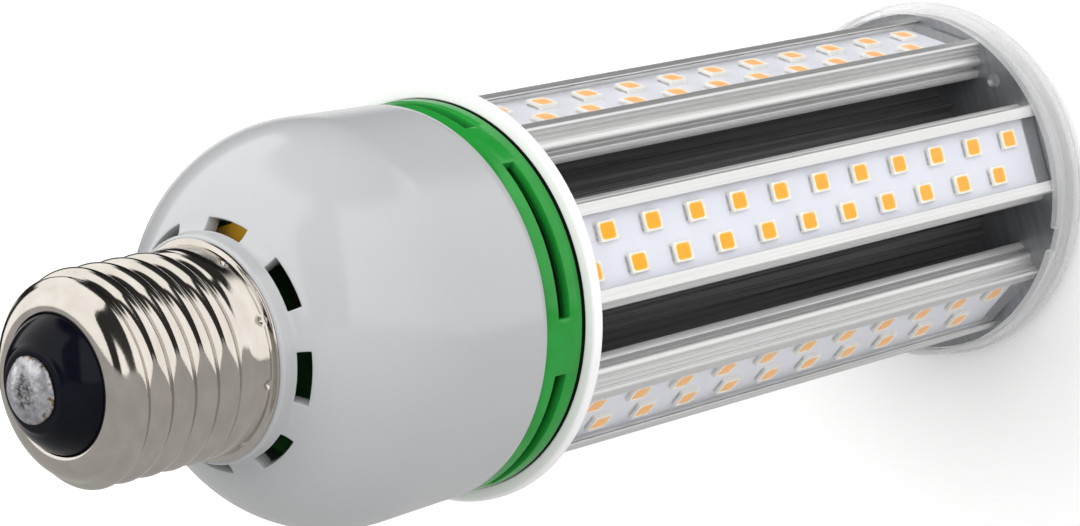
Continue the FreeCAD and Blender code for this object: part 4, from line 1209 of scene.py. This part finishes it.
# %% Strips
strip_depth = 5.8
back_inset = 0.45
base_thick = 1.6
pad_half, pad_depth = 3.3, 0.6
neck_half = 6.1
ridge_radius = 0.82
upper_half = 6.65
lip_half = 4.85
lip_thick = 0.22
edge_cut = 0.25
groove_half = 5.7
shoulder_half = 5.25
flute_drops = (1.81, 1.18, 0.55)
flute_depth = 0.24
strip_round = 0.06
clear_half = 5.6
clear_thick = 0.3
clear_play = 0.03
clear_round = 0.1

strip_low, strip_high = span("strip_profile_1")
back = -strip_high[1]
board_floor = -span("led_board_1")[1][1]
lip_top = back + strip_depth
groove_top = lip_top - lip_thick
groove_floor = groove_top - clear_thick - clear_play
ridge_low, ridge_high = back + 2.0, back + 3.6
half_turn = math.asin((ridge_high - ridge_low) / 2 / ridge_radius)
ridge_centre = (upper_half - ridge_radius * math.cos(half_turn), (ridge_low + ridge_high) / 2)
ridge_points = arc_of(ridge_centre, ridge_radius, np.linspace(-half_turn, half_turn, 11))
flutes = []
for drop in flute_drops:
    flutes += [
        (upper_half, lip_top - drop - 0.34),
        (upper_half - flute_depth, lip_top - drop - 0.25),
        (upper_half - flute_depth, lip_top - drop - 0.09),
        (upper_half, lip_top - drop),
    ]
half_section = np.array([
    (pad_half, back + pad_depth),
    (pad_half, back + back_inset),
    (strip_high[0], back + back_inset),
    (strip_high[0], back + base_thick),
    (neck_half, back + base_thick),
    (neck_half, ridge_low),
    *ridge_points.tolist(),
    *flutes,
    (upper_half, lip_top - edge_cut),
    (upper_half - edge_cut, lip_top),
    (lip_half, lip_top),
    (lip_half, groove_top),
    (groove_half, groove_top),
    (groove_half, groove_floor),
    (shoulder_half, groove_floor),
    (shoulder_half, groove_floor - edge_cut),
    (groove_half, groove_floor - edge_cut),
    (groove_half, board_floor),
])
section = np.vstack([half_section, half_section[::-1] * (-1, 1)])[::-1] * (1, -1)
on_ridge = (np.abs(section[:, 0]) > upper_half) & (np.abs(section[:, 1]) > ridge_low)
section = rounded(section, np.where(on_ridge, 0.0, strip_round), steps=3)
clear_corners = rectangle(clear_half, -groove_floor - clear_thick, -groove_floor)
cover_section = rounded(clear_corners, [clear_round] * 4, steps=3)


def extruded(name, outline, low, high, turn_degrees):
    """Carries an anticlockwise outline of (x, y) from low to high, and turns it round Z."""
    count = len(outline)
    x, y = swung(*outline.T, turn_degrees)
    points = np.stack([np.tile(x, 2), np.tile(y, 2), np.repeat([low, high], count)], axis=1)
    sides = quads_of(2, count, False, True).reshape(-1, 4).tolist()
    caps = [list(range(count))[::-1], list(range(count, 2 * count))]
    return listed_mesh(name, points, sides + caps, sharp=35)


clear_sheet = make_clear(
    "clear_sheet", (0.70, 0.71, 0.72), (0.78, 0.785, 0.79), 6.0, (1, 1, 8), thin=0.01, thick=0.24
)
for number in range(1, 7):
    turn_degrees = 60 * (number - 1)
    ends = strip_low[2], strip_high[2]
    strip = extruded(f"satin_strip_{number}", section, *ends, turn_degrees)
    add_piece(strip, [by_slot["satin_aluminium"]], f"strip_profile_{number}")
    cover = extruded(f"clear_strip_{number}", cover_section, *ends, turn_degrees)
    add_piece(cover, [clear_sheet], f"cover_strip_{number}")


# %% Give every solid its finish
def dress(name, material):
    """Gives a solid one finish, in its first material slot."""
    mesh = nodes[name].data
    mesh.materials.clear()
    mesh.materials.append(material)


slots = {part["node"]: part["material_slot"] for part in frame["record"]["subparts"]}
by_slot |= {
    "clear": clear_sheet, "tin": tin, "black_glass": black_glass, "nickel": nickel,
    "bowl_grey": bowl_grey, "green": green, "white": white, "led": led_body,
}
for name, slot in slots.items():
    dress(name, by_slot[slot])
dress("end_board", end_board_finish)
print("solids with a finish:", len(slots), "of", len(nodes))

# %% [markdown]
# ## Sizes, and the end
#
# The boxes round the solids and round the dressed bulb are both printed. The dressed bulb
# may not be larger than the solids.

# %% Sizes
dressed_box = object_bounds()
boxes = {
    "cad": [[float(value) for value in corner] for corner in cad_box],
    "visual": [[float(value) for value in corner] for corner in dressed_box],
}
print(boxes)
